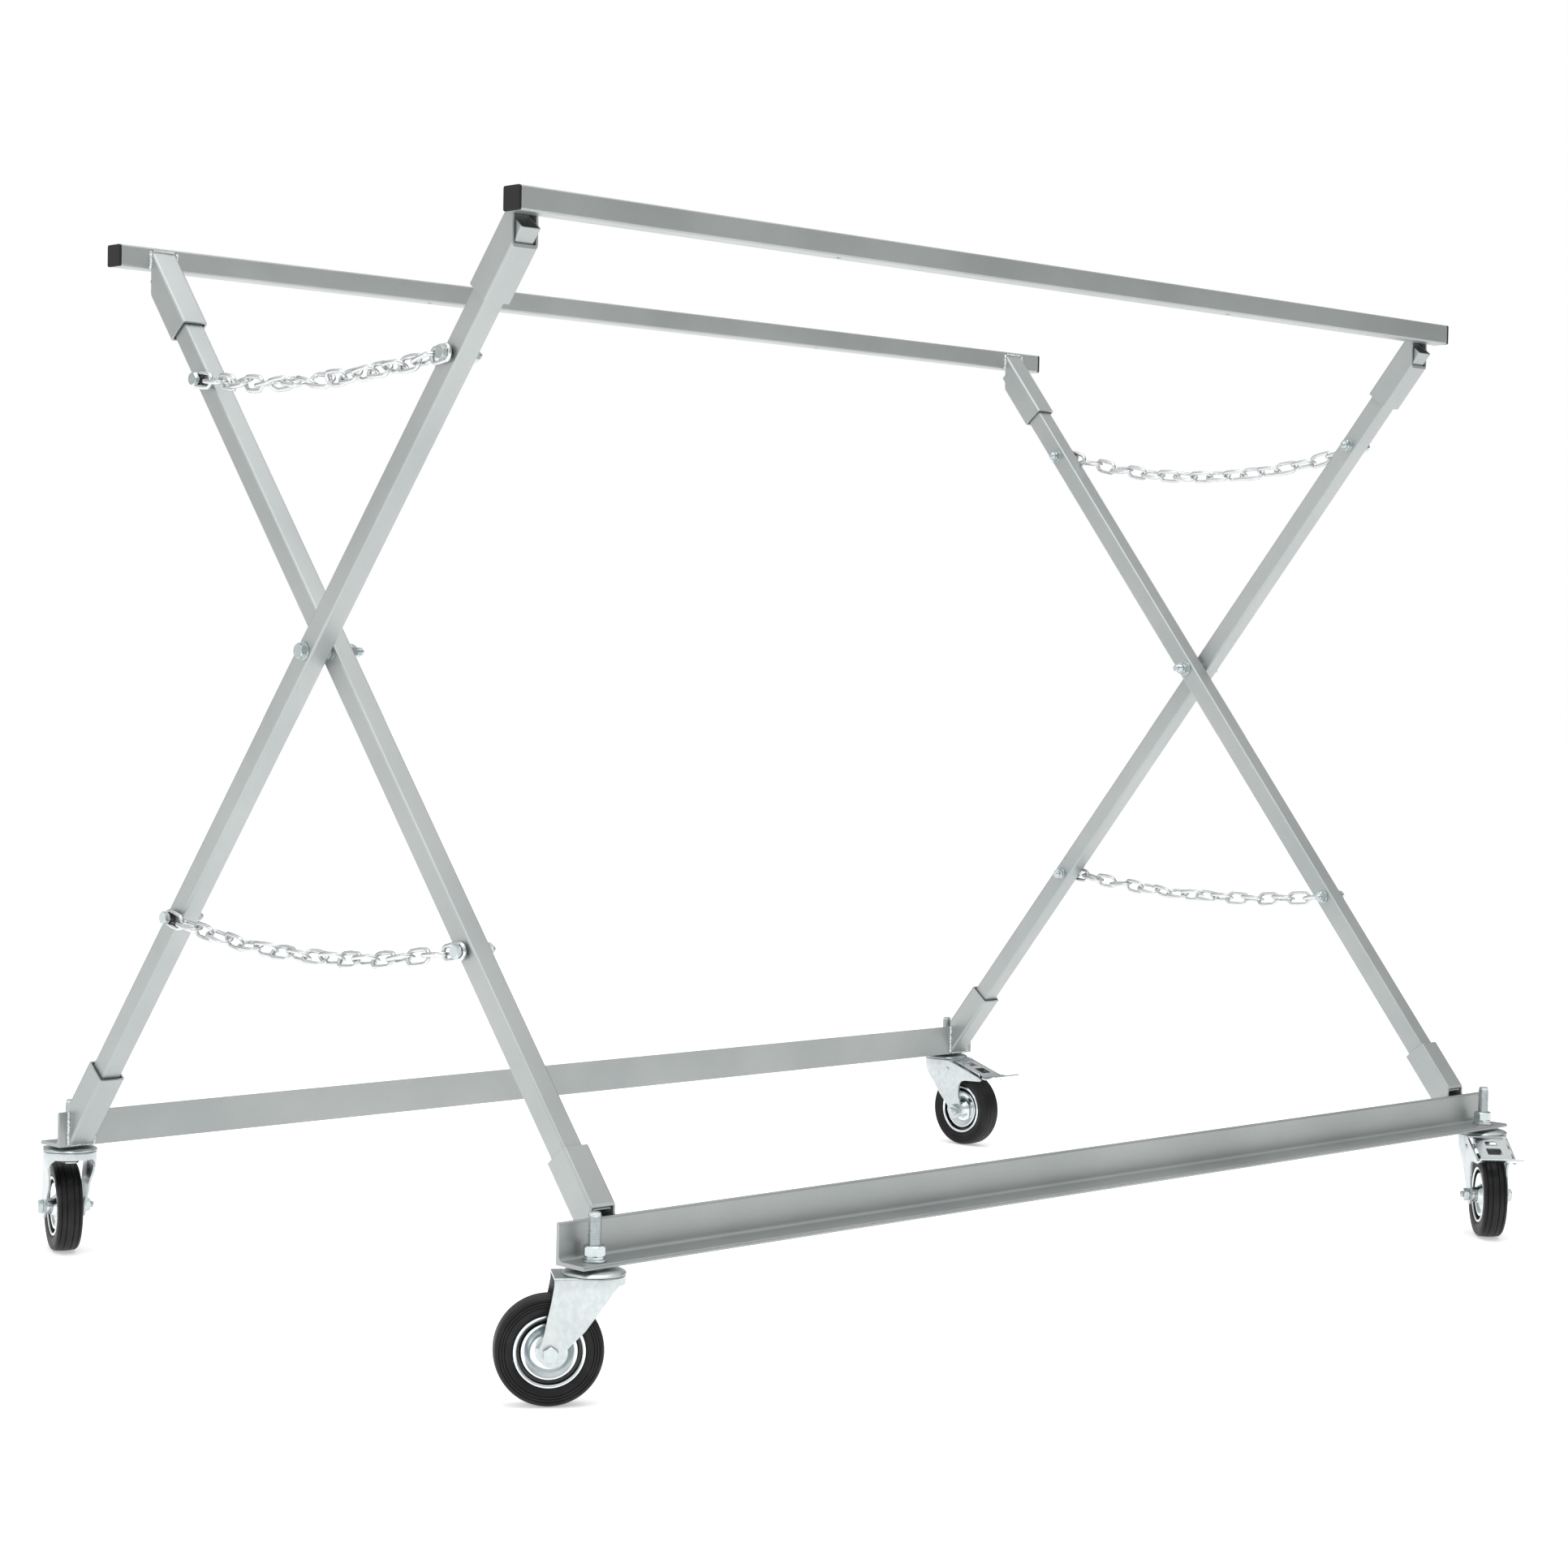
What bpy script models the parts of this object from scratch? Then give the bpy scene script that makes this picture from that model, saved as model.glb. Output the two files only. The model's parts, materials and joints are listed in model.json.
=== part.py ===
"""Folding X-frame trolley: two welded frames that cross at a pivot bolt at each end, on four swivel casters.

Metres, +Z up, X along the rails, the front at -Y. The origin is on the floor under the middle of the
whole trolley, casters included; the frames' own middle is MIDDLE_X from it, because the casters are
turned different ways. The outer frame carries the front top rail and the back bottom angle; the inner
frame carries the back top rail and the front bottom angle. Four chains stop them opening further.
"""

import math

import bmesh
import bpy
from mathutils import Matrix, Vector

# Driving dimensions of the two frames
MIDDLE_X = 0.032
LENGTH = 1.900
LEG_TILT = math.radians(39)
PIVOT_HEIGHT = 0.873
TOP_HALF_GAP = 0.418  # from the middle plane to the face of a top rail that its sockets are welded to
BOTTOM_HALF_GAP = 0.548  # the same for the upright flange of a bottom angle
RAIL_CENTRE_HEIGHT = PIVOT_HEIGHT + 0.538
OUTER_LEG_X = 0.915
INNER_LEG_X = 0.879

# Sections
LEG_SIDE = 0.030
LEG_WALL = 0.002
LEG_TOP_REACH = 0.664  # from the pivot, along the leg
LEG_BOTTOM_REACH = 0.851
SOCKET_SIDE = 0.040
SOCKET_WALL = 0.003
SOCKET_LENGTH = 0.130
RAIL_SIDE = 0.030
RAIL_WALL = 0.002
RAIL_HOLE_RADIUS = 0.0035
RAIL_HOLES_X = (-0.405, 0.405)
ANGLE_LEG = 0.050
ANGLE_THICK = 0.005
ANGLE_ROOT_RADIUS = 0.006
ANGLE_TOE_SHARE = 0.4  # how much of the thickness the eased toe takes
CAP_HEAD = 0.004
CAP_PLUG_DEPTH = 0.016
CAP_HOLLOW_SHARE = 0.75  # of the plug's side
GAP = 0.0003  # kept between pieces that touch

# Fasteners
PIVOT_BOLT_RADIUS = 0.006
PIVOT_HEXAGON = 0.018  # across the flats
PIVOT_HEAD = 0.0075
PIVOT_NUT = 0.0102
PIVOT_WASHER = (0.012, 0.0025)  # radius and thickness
PIVOT_THREAD_END = 0.026
CHAIN_BOLT_RADIUS = 0.005
CHAIN_BOLT_REACH = 0.470  # from the pivot, along the leg, up and down
CHAIN_BOLT_HEXAGON = 0.016
CHAIN_BOLT_STAND_OFF = 0.011  # room for the chain's last link under the head
CHAIN_BOLT_HEAD = 0.0064
CHAIN_BOLT_NUT = 0.0082
CHAIN_BOLT_WASHER = (0.0095, 0.0020)
CHAIN_BOLT_THREAD_END = 0.016
LAP = 0.0002  # how far neighbouring parts of one solid run into each other
BORE_PLAY = 0.0004

# Chains
CHAIN_TUBE_RADIUS = 0.006
CHAIN_END_CLEAR = 0.026  # from the bolt's axis to where the chain's plain solid starts
CHAIN_STAND_OFF = 0.0085  # from a leg's outer face to the middle of the chain
CHAIN_SAGS = {
    "left_upper": 0.018,
    "left_lower": 0.030,
    "right_upper": 0.042,
    "right_lower": 0.020,
}

# Casters
CASTER_HEIGHT = 0.163
WHEEL_RADIUS = 0.065
TYRE_WIDTH = 0.036
HUB_RADIUS = 0.043
CASTER_TRAIL = 0.052
STEM_RADIUS = 0.008
STEM_TOP = 0.062
STEM_INSET_X = 0.035  # from the end of the angle
STEM_FROM_FLANGE = 0.028  # from the upright flange's inner face
RACE_RADIUS = 0.038
CROWN_RADIUS = 0.0365
CHEEK_INNER = 0.0265
CHEEK_THICK = 0.003
AXLE_RADIUS = 0.005
SPACER_RADIUS = 0.014
DOME_RADIUS = 0.030
KINGPIN_RADIUS = 0.008
KINGPIN_HEAD = 0.012
STEM_LEVELS = {  # from the underside of the angle, down
    "spacer": (-0.0040, -0.0003),
    "dome": (-0.0090, -0.0035),
    "race": (-0.0140, -0.0080),
    "kingpin": (-0.0280, -0.0130),
    "kingpin_head": (-0.0280, -0.0248),
}
CROWN_LEVELS = (-0.0245, -0.0143)
BRIDGE_SIZE = (0.040, 0.004)  # along the trail, and thick
BRIDGE_PLACE = (0.030, -0.0178)  # along the trail and up
CHEEK_ROUND = 0.016
DRILL_REACH = 0.05
NUT_WASHER = (0.015, 0.0025)
NUT_SPRING = (0.0125, 0.0035)
NUT_HEXAGON = 0.024
NUT_HEIGHT = 0.0128
AXLE_HEXAGON = 0.017
AXLE_HEAD = 0.0066
AXLE_NUT = 0.0085
AXLE_THREAD_END = 0.014
HUB_BAND = 0.014
HUB_WEB = 0.004
PEDAL_PIN = (0.0405, -0.0245)  # along the trail and up, from the stem at the caster's top
PEDAL_PIN_RADIUS = 0.003
PEDAL_PIN_REACH = 0.0305
PEDAL_THICK = 0.0025
PEDAL_WIDTH = 0.048
PEDAL_LIP_WIDTH = 0.066
PEDAL_LIP_FROM = 0.0685  # along the trail from the pin, where the plate widens
PEDAL_EAR = ((0.012, 0.002, 0.014), (0.0038, 0.003))  # size, then along the trail and up
PEDAL_SHOE = ((0.012, 0.024, 0.009), (0.038, -0.0033))
PEDAL_WINDOW = (0.014, 0.010)
PEDAL_WINDOWS_AT = (0.020, 0.060)
SWIVELS = {
    "front_left": math.radians(145),
    "front_right": math.radians(-134.5),
    "back_left": math.radians(69),
    "back_right": math.radians(-90),
}
BRAKED = ("front_right", "back_right")

ENDS = {"left": -1, "right": 1}
ROUND_SIDES = 20
WASHER_SIDES = 24
DISC_SIDES = 32
COLOURS = {
    "paint": ((0.42, 0.44, 0.44), 0.38, 0.55),
    "zinc": ((0.68, 0.72, 0.73), 0.30, 1.0),
    "chain": ((0.72, 0.75, 0.75), 0.28, 1.0),
    "rubber": ((0.02, 0.02, 0.02), 0.55, 0.0),
    "plastic": ((0.025, 0.025, 0.025), 0.60, 0.0),
}


def clear_scene():
    for thing in list(bpy.data.objects):
        bpy.data.objects.remove(thing)


def make_materials():
    made = {}
    for name, (colour, roughness, metallic) in COLOURS.items():
        material = bpy.data.materials.new(name)
        material.use_nodes = True
        shader = material.node_tree.nodes["Principled BSDF"]
        shader.inputs["Base Color"].default_value = (*colour, 1)
        shader.inputs["Roughness"].default_value = roughness
        shader.inputs["Metallic"].default_value = metallic
        made[name] = material
    return made


def new_collection(name):
    collection = bpy.data.collections.new(name)
    bpy.context.scene.collection.children.link(collection)
    return collection


def take_active(collection):
    """Moves the primitive that was just added to a collection, and returns it."""
    thing = bpy.context.object
    for owner in list(thing.users_collection):
        owner.objects.unlink(thing)
    collection.objects.link(thing)
    return thing


def apply_transform(thing):
    thing.data.transform(thing.matrix_basis)
    thing.matrix_basis = Matrix()


def box(size, centre):
    """A block at a place, as a temporary shape."""
    bpy.ops.mesh.primitive_cube_add(size=1, location=centre)
    block = take_active(shapes)
    block.scale = size
    bpy.context.view_layer.update()
    apply_transform(block)
    return block


def rod(radius, start, end, axis="X", sides=16, turn=0.0, off=(0.0, 0.0)):
    """A cylinder or, with 6 sides, a hexagon bar along one axis; off is its place across that axis."""
    stands = {
        "X": Matrix.Rotation(math.pi / 2, 4, "Y"),
        "Y": Matrix.Rotation(math.pi / 2, 4, "X"),
        "Z": Matrix(),
    }
    middle = (start + end) / 2
    centres = {
        "X": (middle, off[0], off[1]),
        "Y": (off[0], middle, off[1]),
        "Z": (off[0], off[1], middle),
    }
    bpy.ops.mesh.primitive_cylinder_add(vertices=sides, radius=radius, depth=end - start)
    made = take_active(shapes)
    made.data.transform(stands[axis] @ Matrix.Rotation(turn, 4, "Z"))
    made.data.transform(Matrix.Translation(centres[axis]))
    return made


def square_tube(side, wall, start, end, axis="Z"):
    """A square tube that is open at both ends, made of a sleeve of four faces with a wall inwards."""
    tube = box((side, side, end - start), (0, 0, (start + end) / 2))
    for face in reversed(tube.data.polygons):
        face.select = abs(face.normal.z) > 0.5
    remove_selected_faces(tube.data)
    solidify = tube.modifiers.new("wall", "SOLIDIFY")
    solidify.thickness = wall
    solidify.offset = -1
    solidify.use_even_offset = True
    if axis == "X":
        tube.data.transform(Matrix.Rotation(math.pi / 2, 4, "Y"))
    return tube


def remove_selected_faces(mesh):
    work = bmesh.new()
    work.from_mesh(mesh)
    bmesh.ops.delete(work, geom=[f for f in work.faces if f.select], context="FACES")
    work.to_mesh(mesh)
    work.free()


def outline_solid(points, thickness, to_place):
    """A flat outline of (u, v) points, thick about its own plane, moved to its place by a matrix."""
    curve = bpy.data.curves.new("outline", "CURVE")
    curve.dimensions = "2D"
    curve.fill_mode = "BOTH"
    curve.extrude = thickness / 2
    spline = curve.splines.new("POLY")
    spline.points.add(len(points) - 1)
    for point, (u, v) in zip(spline.points, points):
        point.co = (u, v, 0, 1)
    spline.use_cyclic_u = True
    drawn = bpy.data.objects.new("outline", curve)
    shapes.objects.link(drawn)
    mesh = evaluated_mesh(drawn)
    bpy.data.objects.remove(drawn)
    work = bmesh.new()
    work.from_mesh(mesh)
    bmesh.ops.remove_doubles(work, verts=work.verts, dist=1e-6)
    bmesh.ops.recalc_face_normals(work, faces=work.faces)
    work.to_mesh(mesh)
    work.free()
    mesh.transform(to_place)
    made = bpy.data.objects.new("outline_solid", mesh)
    shapes.objects.link(made)
    return made


def evaluated_mesh(thing):
    bpy.context.view_layer.update()
    graph = bpy.context.evaluated_depsgraph_get()
    return bpy.data.meshes.new_from_object(thing.evaluated_get(graph))


def combined(first, others, operation):
    """The mesh of a shape joined with others, or cut by them; the shapes are used up."""
    for other in others:
        modifier = first.modifiers.new(operation.lower(), "BOOLEAN")
        modifier.operation = operation
        modifier.object = other
        modifier.solver = "EXACT"
    mesh = evaluated_mesh(first)
    for shape in [first, *others]:
        bpy.data.objects.remove(shape)
    return mesh


def joined(first, *others):
    made = bpy.data.objects.new("joined", combined(first, others, "UNION"))
    shapes.objects.link(made)
    return made


def cut(first, *others):
    made = bpy.data.objects.new("cut", combined(first, others, "DIFFERENCE"))
    shapes.objects.link(made)
    return made


def mesh_of(shape):
    mesh = evaluated_mesh(shape)
    bpy.data.objects.remove(shape)
    return mesh


def piece(name, mesh, finish, location=(0, 0, 0), rotation=(0, 0, 0), parent=None, smooth=False):
    """One named piece of the trolley."""
    thing = bpy.data.objects.new(name, mesh)
    trolley.objects.link(thing)
    thing.location = location
    thing.rotation_euler = rotation
    thing.parent = parent
    mesh.materials.clear()
    mesh.materials.append(materials[finish])
    if smooth:
        mesh.shade_smooth()
        mesh.set_sharp_from_angle(angle=math.radians(35))
    return thing


def empty(name, location, rotation=(0, 0, 0)):
    holder = bpy.data.objects.new(name, None)
    trolley.objects.link(holder)
    holder.location = location
    holder.rotation_euler = rotation
    return holder


def cut_plane_box(side, half_gap):
    """A wide block whose face is the upright plane that a row of sockets is cut to."""
    middle = side * (half_gap - GAP + LENGTH / 2)
    return box((2 * LENGTH, LENGTH, 2 * LENGTH), (0, middle, 0))


def make_leg(name, x, tilt, parent):
    """A square tube with bores for the pivot bolt and for the two chain bolts."""
    leg = square_tube(LEG_SIDE, LEG_WALL, -LEG_BOTTOM_REACH, LEG_TOP_REACH)
    bores = [(PIVOT_BOLT_RADIUS, 0.0)]
    bores += [(CHAIN_BOLT_RADIUS, reach) for reach in (CHAIN_BOLT_REACH, -CHAIN_BOLT_REACH)]
    drills = [rod(radius + BORE_PLAY, -SOCKET_SIDE, SOCKET_SIDE, off=(0, z)) for radius, z in bores]
    piece(name, mesh_of(cut(leg, *drills)), "paint", (x, 0, 0), (tilt, 0, 0), parent)


def make_socket(name, x, tilt, side, half_gap, parent):
    """A larger tube around a leg's end, cut upright where it is welded to its rail or angle.

    tilt turns the leg's axis; side is -1 towards the front. The longest side of the tube reaches the
    plane at long_reach from the pivot, on the leg's axis line moved by half the tube's side.
    """
    rises = -math.sin(tilt) * side  # above 0 where the leg climbs towards this side
    long_reach = (half_gap + SOCKET_SIDE / 2 * math.cos(tilt)) / abs(math.sin(tilt))
    near, far = long_reach - SOCKET_LENGTH, long_reach + SOCKET_SIDE
    start, end = (near, far) if rises > 0 else (-far, -near)
    tube = square_tube(SOCKET_SIDE, SOCKET_WALL, start, end)
    plane = cut_plane_box(side, half_gap)
    plane.data.transform(Matrix.Rotation(-tilt, 4, "X"))
    piece(name, mesh_of(cut(tube, plane)), "paint", (x, 0, 0), (tilt, 0, 0), parent)


def make_rail(name, side, parent):
    """A square tube with two drain holes in its underside, and a plastic cap in each end."""
    half = LENGTH / 2 - CAP_HEAD - GAP
    centre = (0, side * (TOP_HALF_GAP + RAIL_SIDE / 2), RAIL_CENTRE_HEIGHT - PIVOT_HEIGHT)
    rail = square_tube(RAIL_SIDE, RAIL_WALL, -half, half, "X")
    drills = [rod(RAIL_HOLE_RADIUS, -RAIL_SIDE, 0, "Z", 12, off=(x, 0)) for x in RAIL_HOLES_X]
    piece(name, mesh_of(cut(rail, *drills)), "paint", centre, parent=parent)
    plug_side = RAIL_SIDE - 2 * RAIL_WALL - 2 * GAP
    for end, sign in ENDS.items():
        head = box((CAP_HEAD, RAIL_SIDE, RAIL_SIDE), (sign * (LENGTH / 2 - CAP_HEAD / 2), 0, 0))
        plug_middle = sign * (LENGTH / 2 - CAP_HEAD - CAP_PLUG_DEPTH / 2 + CAP_HEAD / 4)
        plug = box((CAP_PLUG_DEPTH, plug_side, plug_side), (plug_middle, 0, 0))
        hollow_side = plug_side * CAP_HOLLOW_SHARE
        hollow = box((CAP_PLUG_DEPTH, hollow_side, hollow_side), (plug_middle - sign * CAP_HEAD, 0, 0))
        cap = cut(joined(head, plug), hollow)
        piece(f"{name}_cap_{end}", mesh_of(cap), "plastic", centre, parent=parent)


def angle_outline():
    """The L section in (outwards, up), with its root rounded inside and its toes eased."""
    toe = ANGLE_THICK * ANGLE_TOE_SHARE
    points = [(0, 0), (ANGLE_LEG, 0), (ANGLE_LEG, ANGLE_THICK - toe), (ANGLE_LEG - toe, ANGLE_THICK)]
    centre = ANGLE_THICK + ANGLE_ROOT_RADIUS
    for step in range(5):
        turn = math.radians(270 - 90 * step / 4)
        outwards = centre + ANGLE_ROOT_RADIUS * math.cos(turn)
        points.append((outwards, centre + ANGLE_ROOT_RADIUS * math.sin(turn)))
    points += [(ANGLE_THICK, ANGLE_LEG - toe), (ANGLE_THICK - toe, ANGLE_LEG), (0, ANGLE_LEG)]
    return points


def make_bottom_angle(name, side, parent):
    """An angle iron whose upright flange is welded to the sockets and whose flat flange points outwards."""
    stand = Matrix.Rotation(math.pi / 2, 4, "Z") @ Matrix.Rotation(math.pi / 2, 4, "X")
    angle = outline_solid(angle_outline(), LENGTH, Matrix.Scale(side, 4, (0, 1, 0)) @ stand)
    if side < 0:
        angle.data.flip_normals()
    across = side * STEM_FROM_FLANGE
    drills = []
    for sign in ENDS.values():
        x = sign * (LENGTH / 2 - STEM_INSET_X)
        drills.append(rod(STEM_RADIUS + BORE_PLAY, -ANGLE_THICK, ANGLE_THICK * 2, "Z", off=(x, across)))
    place = (0, side * BOTTOM_HALF_GAP, CASTER_HEIGHT - PIVOT_HEIGHT)
    piece(name, mesh_of(cut(angle, *drills)), "paint", place, parent=parent)


def hexagon(across_flats, start, end, axis="X", off=(0.0, 0.0)):
    return rod(across_flats / math.sqrt(3), start, end, axis, 6, math.radians(30), off)


def make_pivot_bolt(name, sign, parent):
    """Hexagon bolt through both legs, its head outside, with a washer between the legs."""
    radius, thick = PIVOT_WASHER
    outer_face = OUTER_LEG_X + LEG_SIDE / 2 + GAP
    inner_face = INNER_LEG_X - LEG_SIDE / 2 - GAP
    between = (INNER_LEG_X + LEG_SIDE / 2 + GAP, OUTER_LEG_X - LEG_SIDE / 2 - GAP)
    shank = rod(PIVOT_BOLT_RADIUS, inner_face - PIVOT_THREAD_END, outer_face + thick + LAP)
    washer_out = rod(radius, outer_face, outer_face + thick, sides=WASHER_SIDES)
    head = hexagon(PIVOT_HEXAGON, outer_face + thick - LAP, outer_face + thick + PIVOT_HEAD)
    spacer = rod(radius, *between, sides=WASHER_SIDES)
    washer_in = rod(radius, inner_face - thick, inner_face, sides=WASHER_SIDES)
    nut = hexagon(PIVOT_HEXAGON, inner_face - thick - PIVOT_NUT, inner_face - thick + LAP)
    bolt = joined(head, washer_out, shank, spacer, washer_in, nut)
    mirror_to(bolt, sign)
    piece(name, mesh_of(bolt), "zinc", parent=parent)


def mirror_to(shape, sign):
    if sign < 0:
        shape.data.transform(Matrix.Scale(-1, 4, (1, 0, 0)))
        shape.data.flip_normals()


def make_chain_bolt(name, leg_x, sign, place, tilt, parent):
    """Hexagon bolt through one leg, its head standing off to leave room for the chain's last link."""
    radius, thick = CHAIN_BOLT_WASHER
    under_head = leg_x + LEG_SIDE / 2 + CHAIN_BOLT_STAND_OFF
    inner = leg_x - LEG_SIDE / 2 - GAP
    shank = rod(CHAIN_BOLT_RADIUS, inner - CHAIN_BOLT_THREAD_END, under_head + LAP)
    head = hexagon(CHAIN_BOLT_HEXAGON, under_head, under_head + CHAIN_BOLT_HEAD)
    washer = rod(radius, inner - thick, inner, sides=WASHER_SIDES)
    nut = hexagon(CHAIN_BOLT_HEXAGON, inner - thick - CHAIN_BOLT_NUT, inner - thick + LAP)
    bolt = joined(head, shank, washer, nut)
    mirror_to(bolt, sign)
    piece(name, mesh_of(bolt), "zinc", place, (tilt, 0, 0), parent)


def chain_bolt_place(tilt, up):
    """Where a chain bolt's axis crosses its leg, seen from the end and measured from the pivot."""
    reach = CHAIN_BOLT_REACH * up
    return Vector((0, -reach * math.sin(tilt), reach * math.cos(tilt)))


def chain_route(sign, up, sag, steps=24):
    """The middle line of a hanging chain from the inner frame's bolt to the outer frame's bolt."""
    inner_end = chain_bolt_place(-LEG_TILT, up)
    outer_end = chain_bolt_place(LEG_TILT, up)
    inner_end.x = sign * (INNER_LEG_X + LEG_SIDE / 2 + CHAIN_STAND_OFF)
    outer_end.x = sign * (OUTER_LEG_X + LEG_SIDE / 2 + CHAIN_STAND_OFF)
    span = (outer_end - inner_end).length
    first = CHAIN_END_CLEAR / span
    points = []
    for step in range(steps + 1):
        share = first + (1 - 2 * first) * step / steps
        point = inner_end.lerp(outer_end, share)
        point.z -= 4 * sag * share * (1 - share)
        points.append(point)
    return points


def make_chain(name, points, parent):
    """A plain tube along the chain's middle line."""
    curve = bpy.data.curves.new(name, "CURVE")
    curve.dimensions = "3D"
    curve.bevel_depth = CHAIN_TUBE_RADIUS
    curve.bevel_resolution = 2
    curve.use_fill_caps = True
    spline = curve.splines.new("POLY")
    spline.points.add(len(points) - 1)
    for spot, point in zip(spline.points, points):
        spot.co = (*point, 1)
    curve.materials.append(materials["chain"])
    tube = bpy.data.objects.new(name, curve)
    trolley.objects.link(tube)
    tube.parent = parent


def make_frames():
    """Both welded frames with their legs, sockets, rails, angles, bolts and chains."""
    pivot = (MIDDLE_X, 0, PIVOT_HEIGHT)
    outer = empty("outer_frame_axis", pivot)
    inner = empty("inner_frame_axis", pivot)
    make_rail("front_top_rail", -1, outer)
    make_bottom_angle("back_bottom_angle", 1, outer)
    make_rail("back_top_rail", 1, inner)
    make_bottom_angle("front_bottom_angle", -1, inner)
    for end, sign in ENDS.items():
        outer_x, inner_x = sign * OUTER_LEG_X, sign * INNER_LEG_X
        make_leg(f"outer_leg_{end}", outer_x, LEG_TILT, outer)
        make_leg(f"inner_leg_{end}", inner_x, -LEG_TILT, inner)
        make_socket(f"front_top_socket_{end}", outer_x, LEG_TILT, -1, TOP_HALF_GAP, outer)
        make_socket(f"back_bottom_socket_{end}", outer_x, LEG_TILT, 1, BOTTOM_HALF_GAP, outer)
        make_socket(f"back_top_socket_{end}", inner_x, -LEG_TILT, 1, TOP_HALF_GAP, inner)
        make_socket(f"front_bottom_socket_{end}", inner_x, -LEG_TILT, -1, BOTTOM_HALF_GAP, inner)
        make_pivot_bolt(f"pivot_bolt_{end}", sign, outer)
        for level, up in (("upper", 1), ("lower", -1)):
            for frame, leg_x, tilt, holder in (
                ("outer", OUTER_LEG_X, LEG_TILT, outer),
                ("inner", INNER_LEG_X, -LEG_TILT, inner),
            ):
                place = chain_bolt_place(tilt, up)
                make_chain_bolt(f"chain_bolt_{frame}_{end}_{level}", leg_x, sign, place, tilt, holder)
            sag = CHAIN_SAGS[f"{end}_{level}"]
            make_chain(f"chain_{end}_{level}", chain_route(sign, up, sag), outer)


def turned(profile, steps):
    """A closed ring turned about the Y axis from a closed profile of (radius, y) points."""
    work = bmesh.new()
    corners = [work.verts.new((radius, y, 0)) for radius, y in profile]
    for first, second in zip(corners, corners[1:] + corners[:1]):
        work.edges.new((first, second))
    mesh = bpy.data.meshes.new("profile")
    work.to_mesh(mesh)
    work.free()
    ring = bpy.data.objects.new("turned", mesh)
    shapes.objects.link(ring)
    screw = ring.modifiers.new("turn", "SCREW")
    screw.axis = "Y"
    screw.steps = steps
    screw.render_steps = steps
    screw.use_merge_vertices = True
    screw.merge_threshold = 1e-6
    made = bpy.data.objects.new("turned", mesh_of(ring))
    shapes.objects.link(made)
    return made


def facing_out(shape):
    work = bmesh.new()
    work.from_mesh(shape.data)
    bmesh.ops.remove_doubles(work, verts=work.verts, dist=1e-6)
    bmesh.ops.recalc_face_normals(work, faces=work.faces)
    work.to_mesh(shape.data)
    work.free()
    return shape


def tyre_mesh():
    half = TYRE_WIDTH / 2
    shoulder = 0.006
    inside = HUB_RADIUS + GAP
    outer = [(WHEEL_RADIUS, -half + shoulder), (WHEEL_RADIUS, half - shoulder)]
    right = [(WHEEL_RADIUS - shoulder * 0.3, half - shoulder * 0.3), (WHEEL_RADIUS - shoulder, half)]
    left = [(radius, -y) for radius, y in reversed(right)]
    rim = [(inside, half - 0.003), (inside, -half + 0.003)]
    return mesh_of(facing_out(turned(outer + right + rim + left, 36)))


def hub_mesh():
    """A pressed steel wheel centre: a rim band, a dished web and a bearing sleeve."""
    band, web, sleeve = HUB_BAND, HUB_WEB, CHEEK_INNER - 0.001
    bore = AXLE_RADIUS + GAP
    half = [(HUB_RADIUS, band), (HUB_RADIUS - 0.004, band), (HUB_RADIUS - 0.008, web * 1.6)]
    half += [(0.020, web), (0.012, web * 2.2), (0.011, sleeve), (bore, sleeve)]
    return mesh_of(facing_out(turned(half + [(radius, -y) for radius, y in reversed(half)], 32)))


def cheek_outline(braked):
    """A fork cheek in (trail, up) from the stem at the caster's top, round below the axle."""
    drop = WHEEL_RADIUS - CASTER_HEIGHT
    round_radius = CHEEK_ROUND
    points = [(-0.020, -0.0150), (-0.018, -0.029), (0.002, -0.054), (0.020, -0.076)]
    for step in range(7):
        turn = math.radians(205 + 155 * step / 6)
        points.append((CASTER_TRAIL + round_radius * math.cos(turn), drop + round_radius * math.sin(turn)))
    if braked:
        points += [(0.066, -0.060), (0.069, -0.046), (0.076, -0.041), (0.100, -0.040), (0.102, -0.034)]
        points += [(0.058, -0.0155), (0.020, -0.0150)]
    else:
        points += [(0.062, -0.050), (0.052, -0.0155)]
    return points


def fork_mesh(braked):
    """A pressed fork: a round crown with a flat bridge behind it, and two cheeks down to the axle."""
    crown = rod(CROWN_RADIUS, *CROWN_LEVELS, "Z", DISC_SIDES)
    upright = Matrix.Rotation(math.pi / 2, 4, "X")
    parts = []
    for side in (-1, 1):
        middle = side * (CHEEK_INNER + CHEEK_THICK / 2)
        to_side = Matrix.Translation((0, middle, 0)) @ upright
        parts.append(outline_solid(cheek_outline(braked), CHEEK_THICK, to_side))
    if not braked:
        along, thick = BRIDGE_SIZE
        bridge_size = (along, 2 * CHEEK_INNER + CHEEK_THICK, thick)
        parts.append(box(bridge_size, (BRIDGE_PLACE[0], 0, BRIDGE_PLACE[1])))
    body = joined(crown, *parts)
    kingpin_hole = rod(KINGPIN_RADIUS + BORE_PLAY, -DRILL_REACH, DRILL_REACH, "Z", ROUND_SIDES)
    drop = WHEEL_RADIUS - CASTER_HEIGHT
    axle_hole = rod(AXLE_RADIUS + GAP, -DRILL_REACH, DRILL_REACH, "Y", off=(CASTER_TRAIL, drop))
    tools = [kingpin_hole, axle_hole]
    if braked:
        tools.append(rod(PEDAL_PIN_RADIUS + GAP, -DRILL_REACH, DRILL_REACH, "Y", off=PEDAL_PIN))
    return mesh_of(cut(body, *tools))


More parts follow.
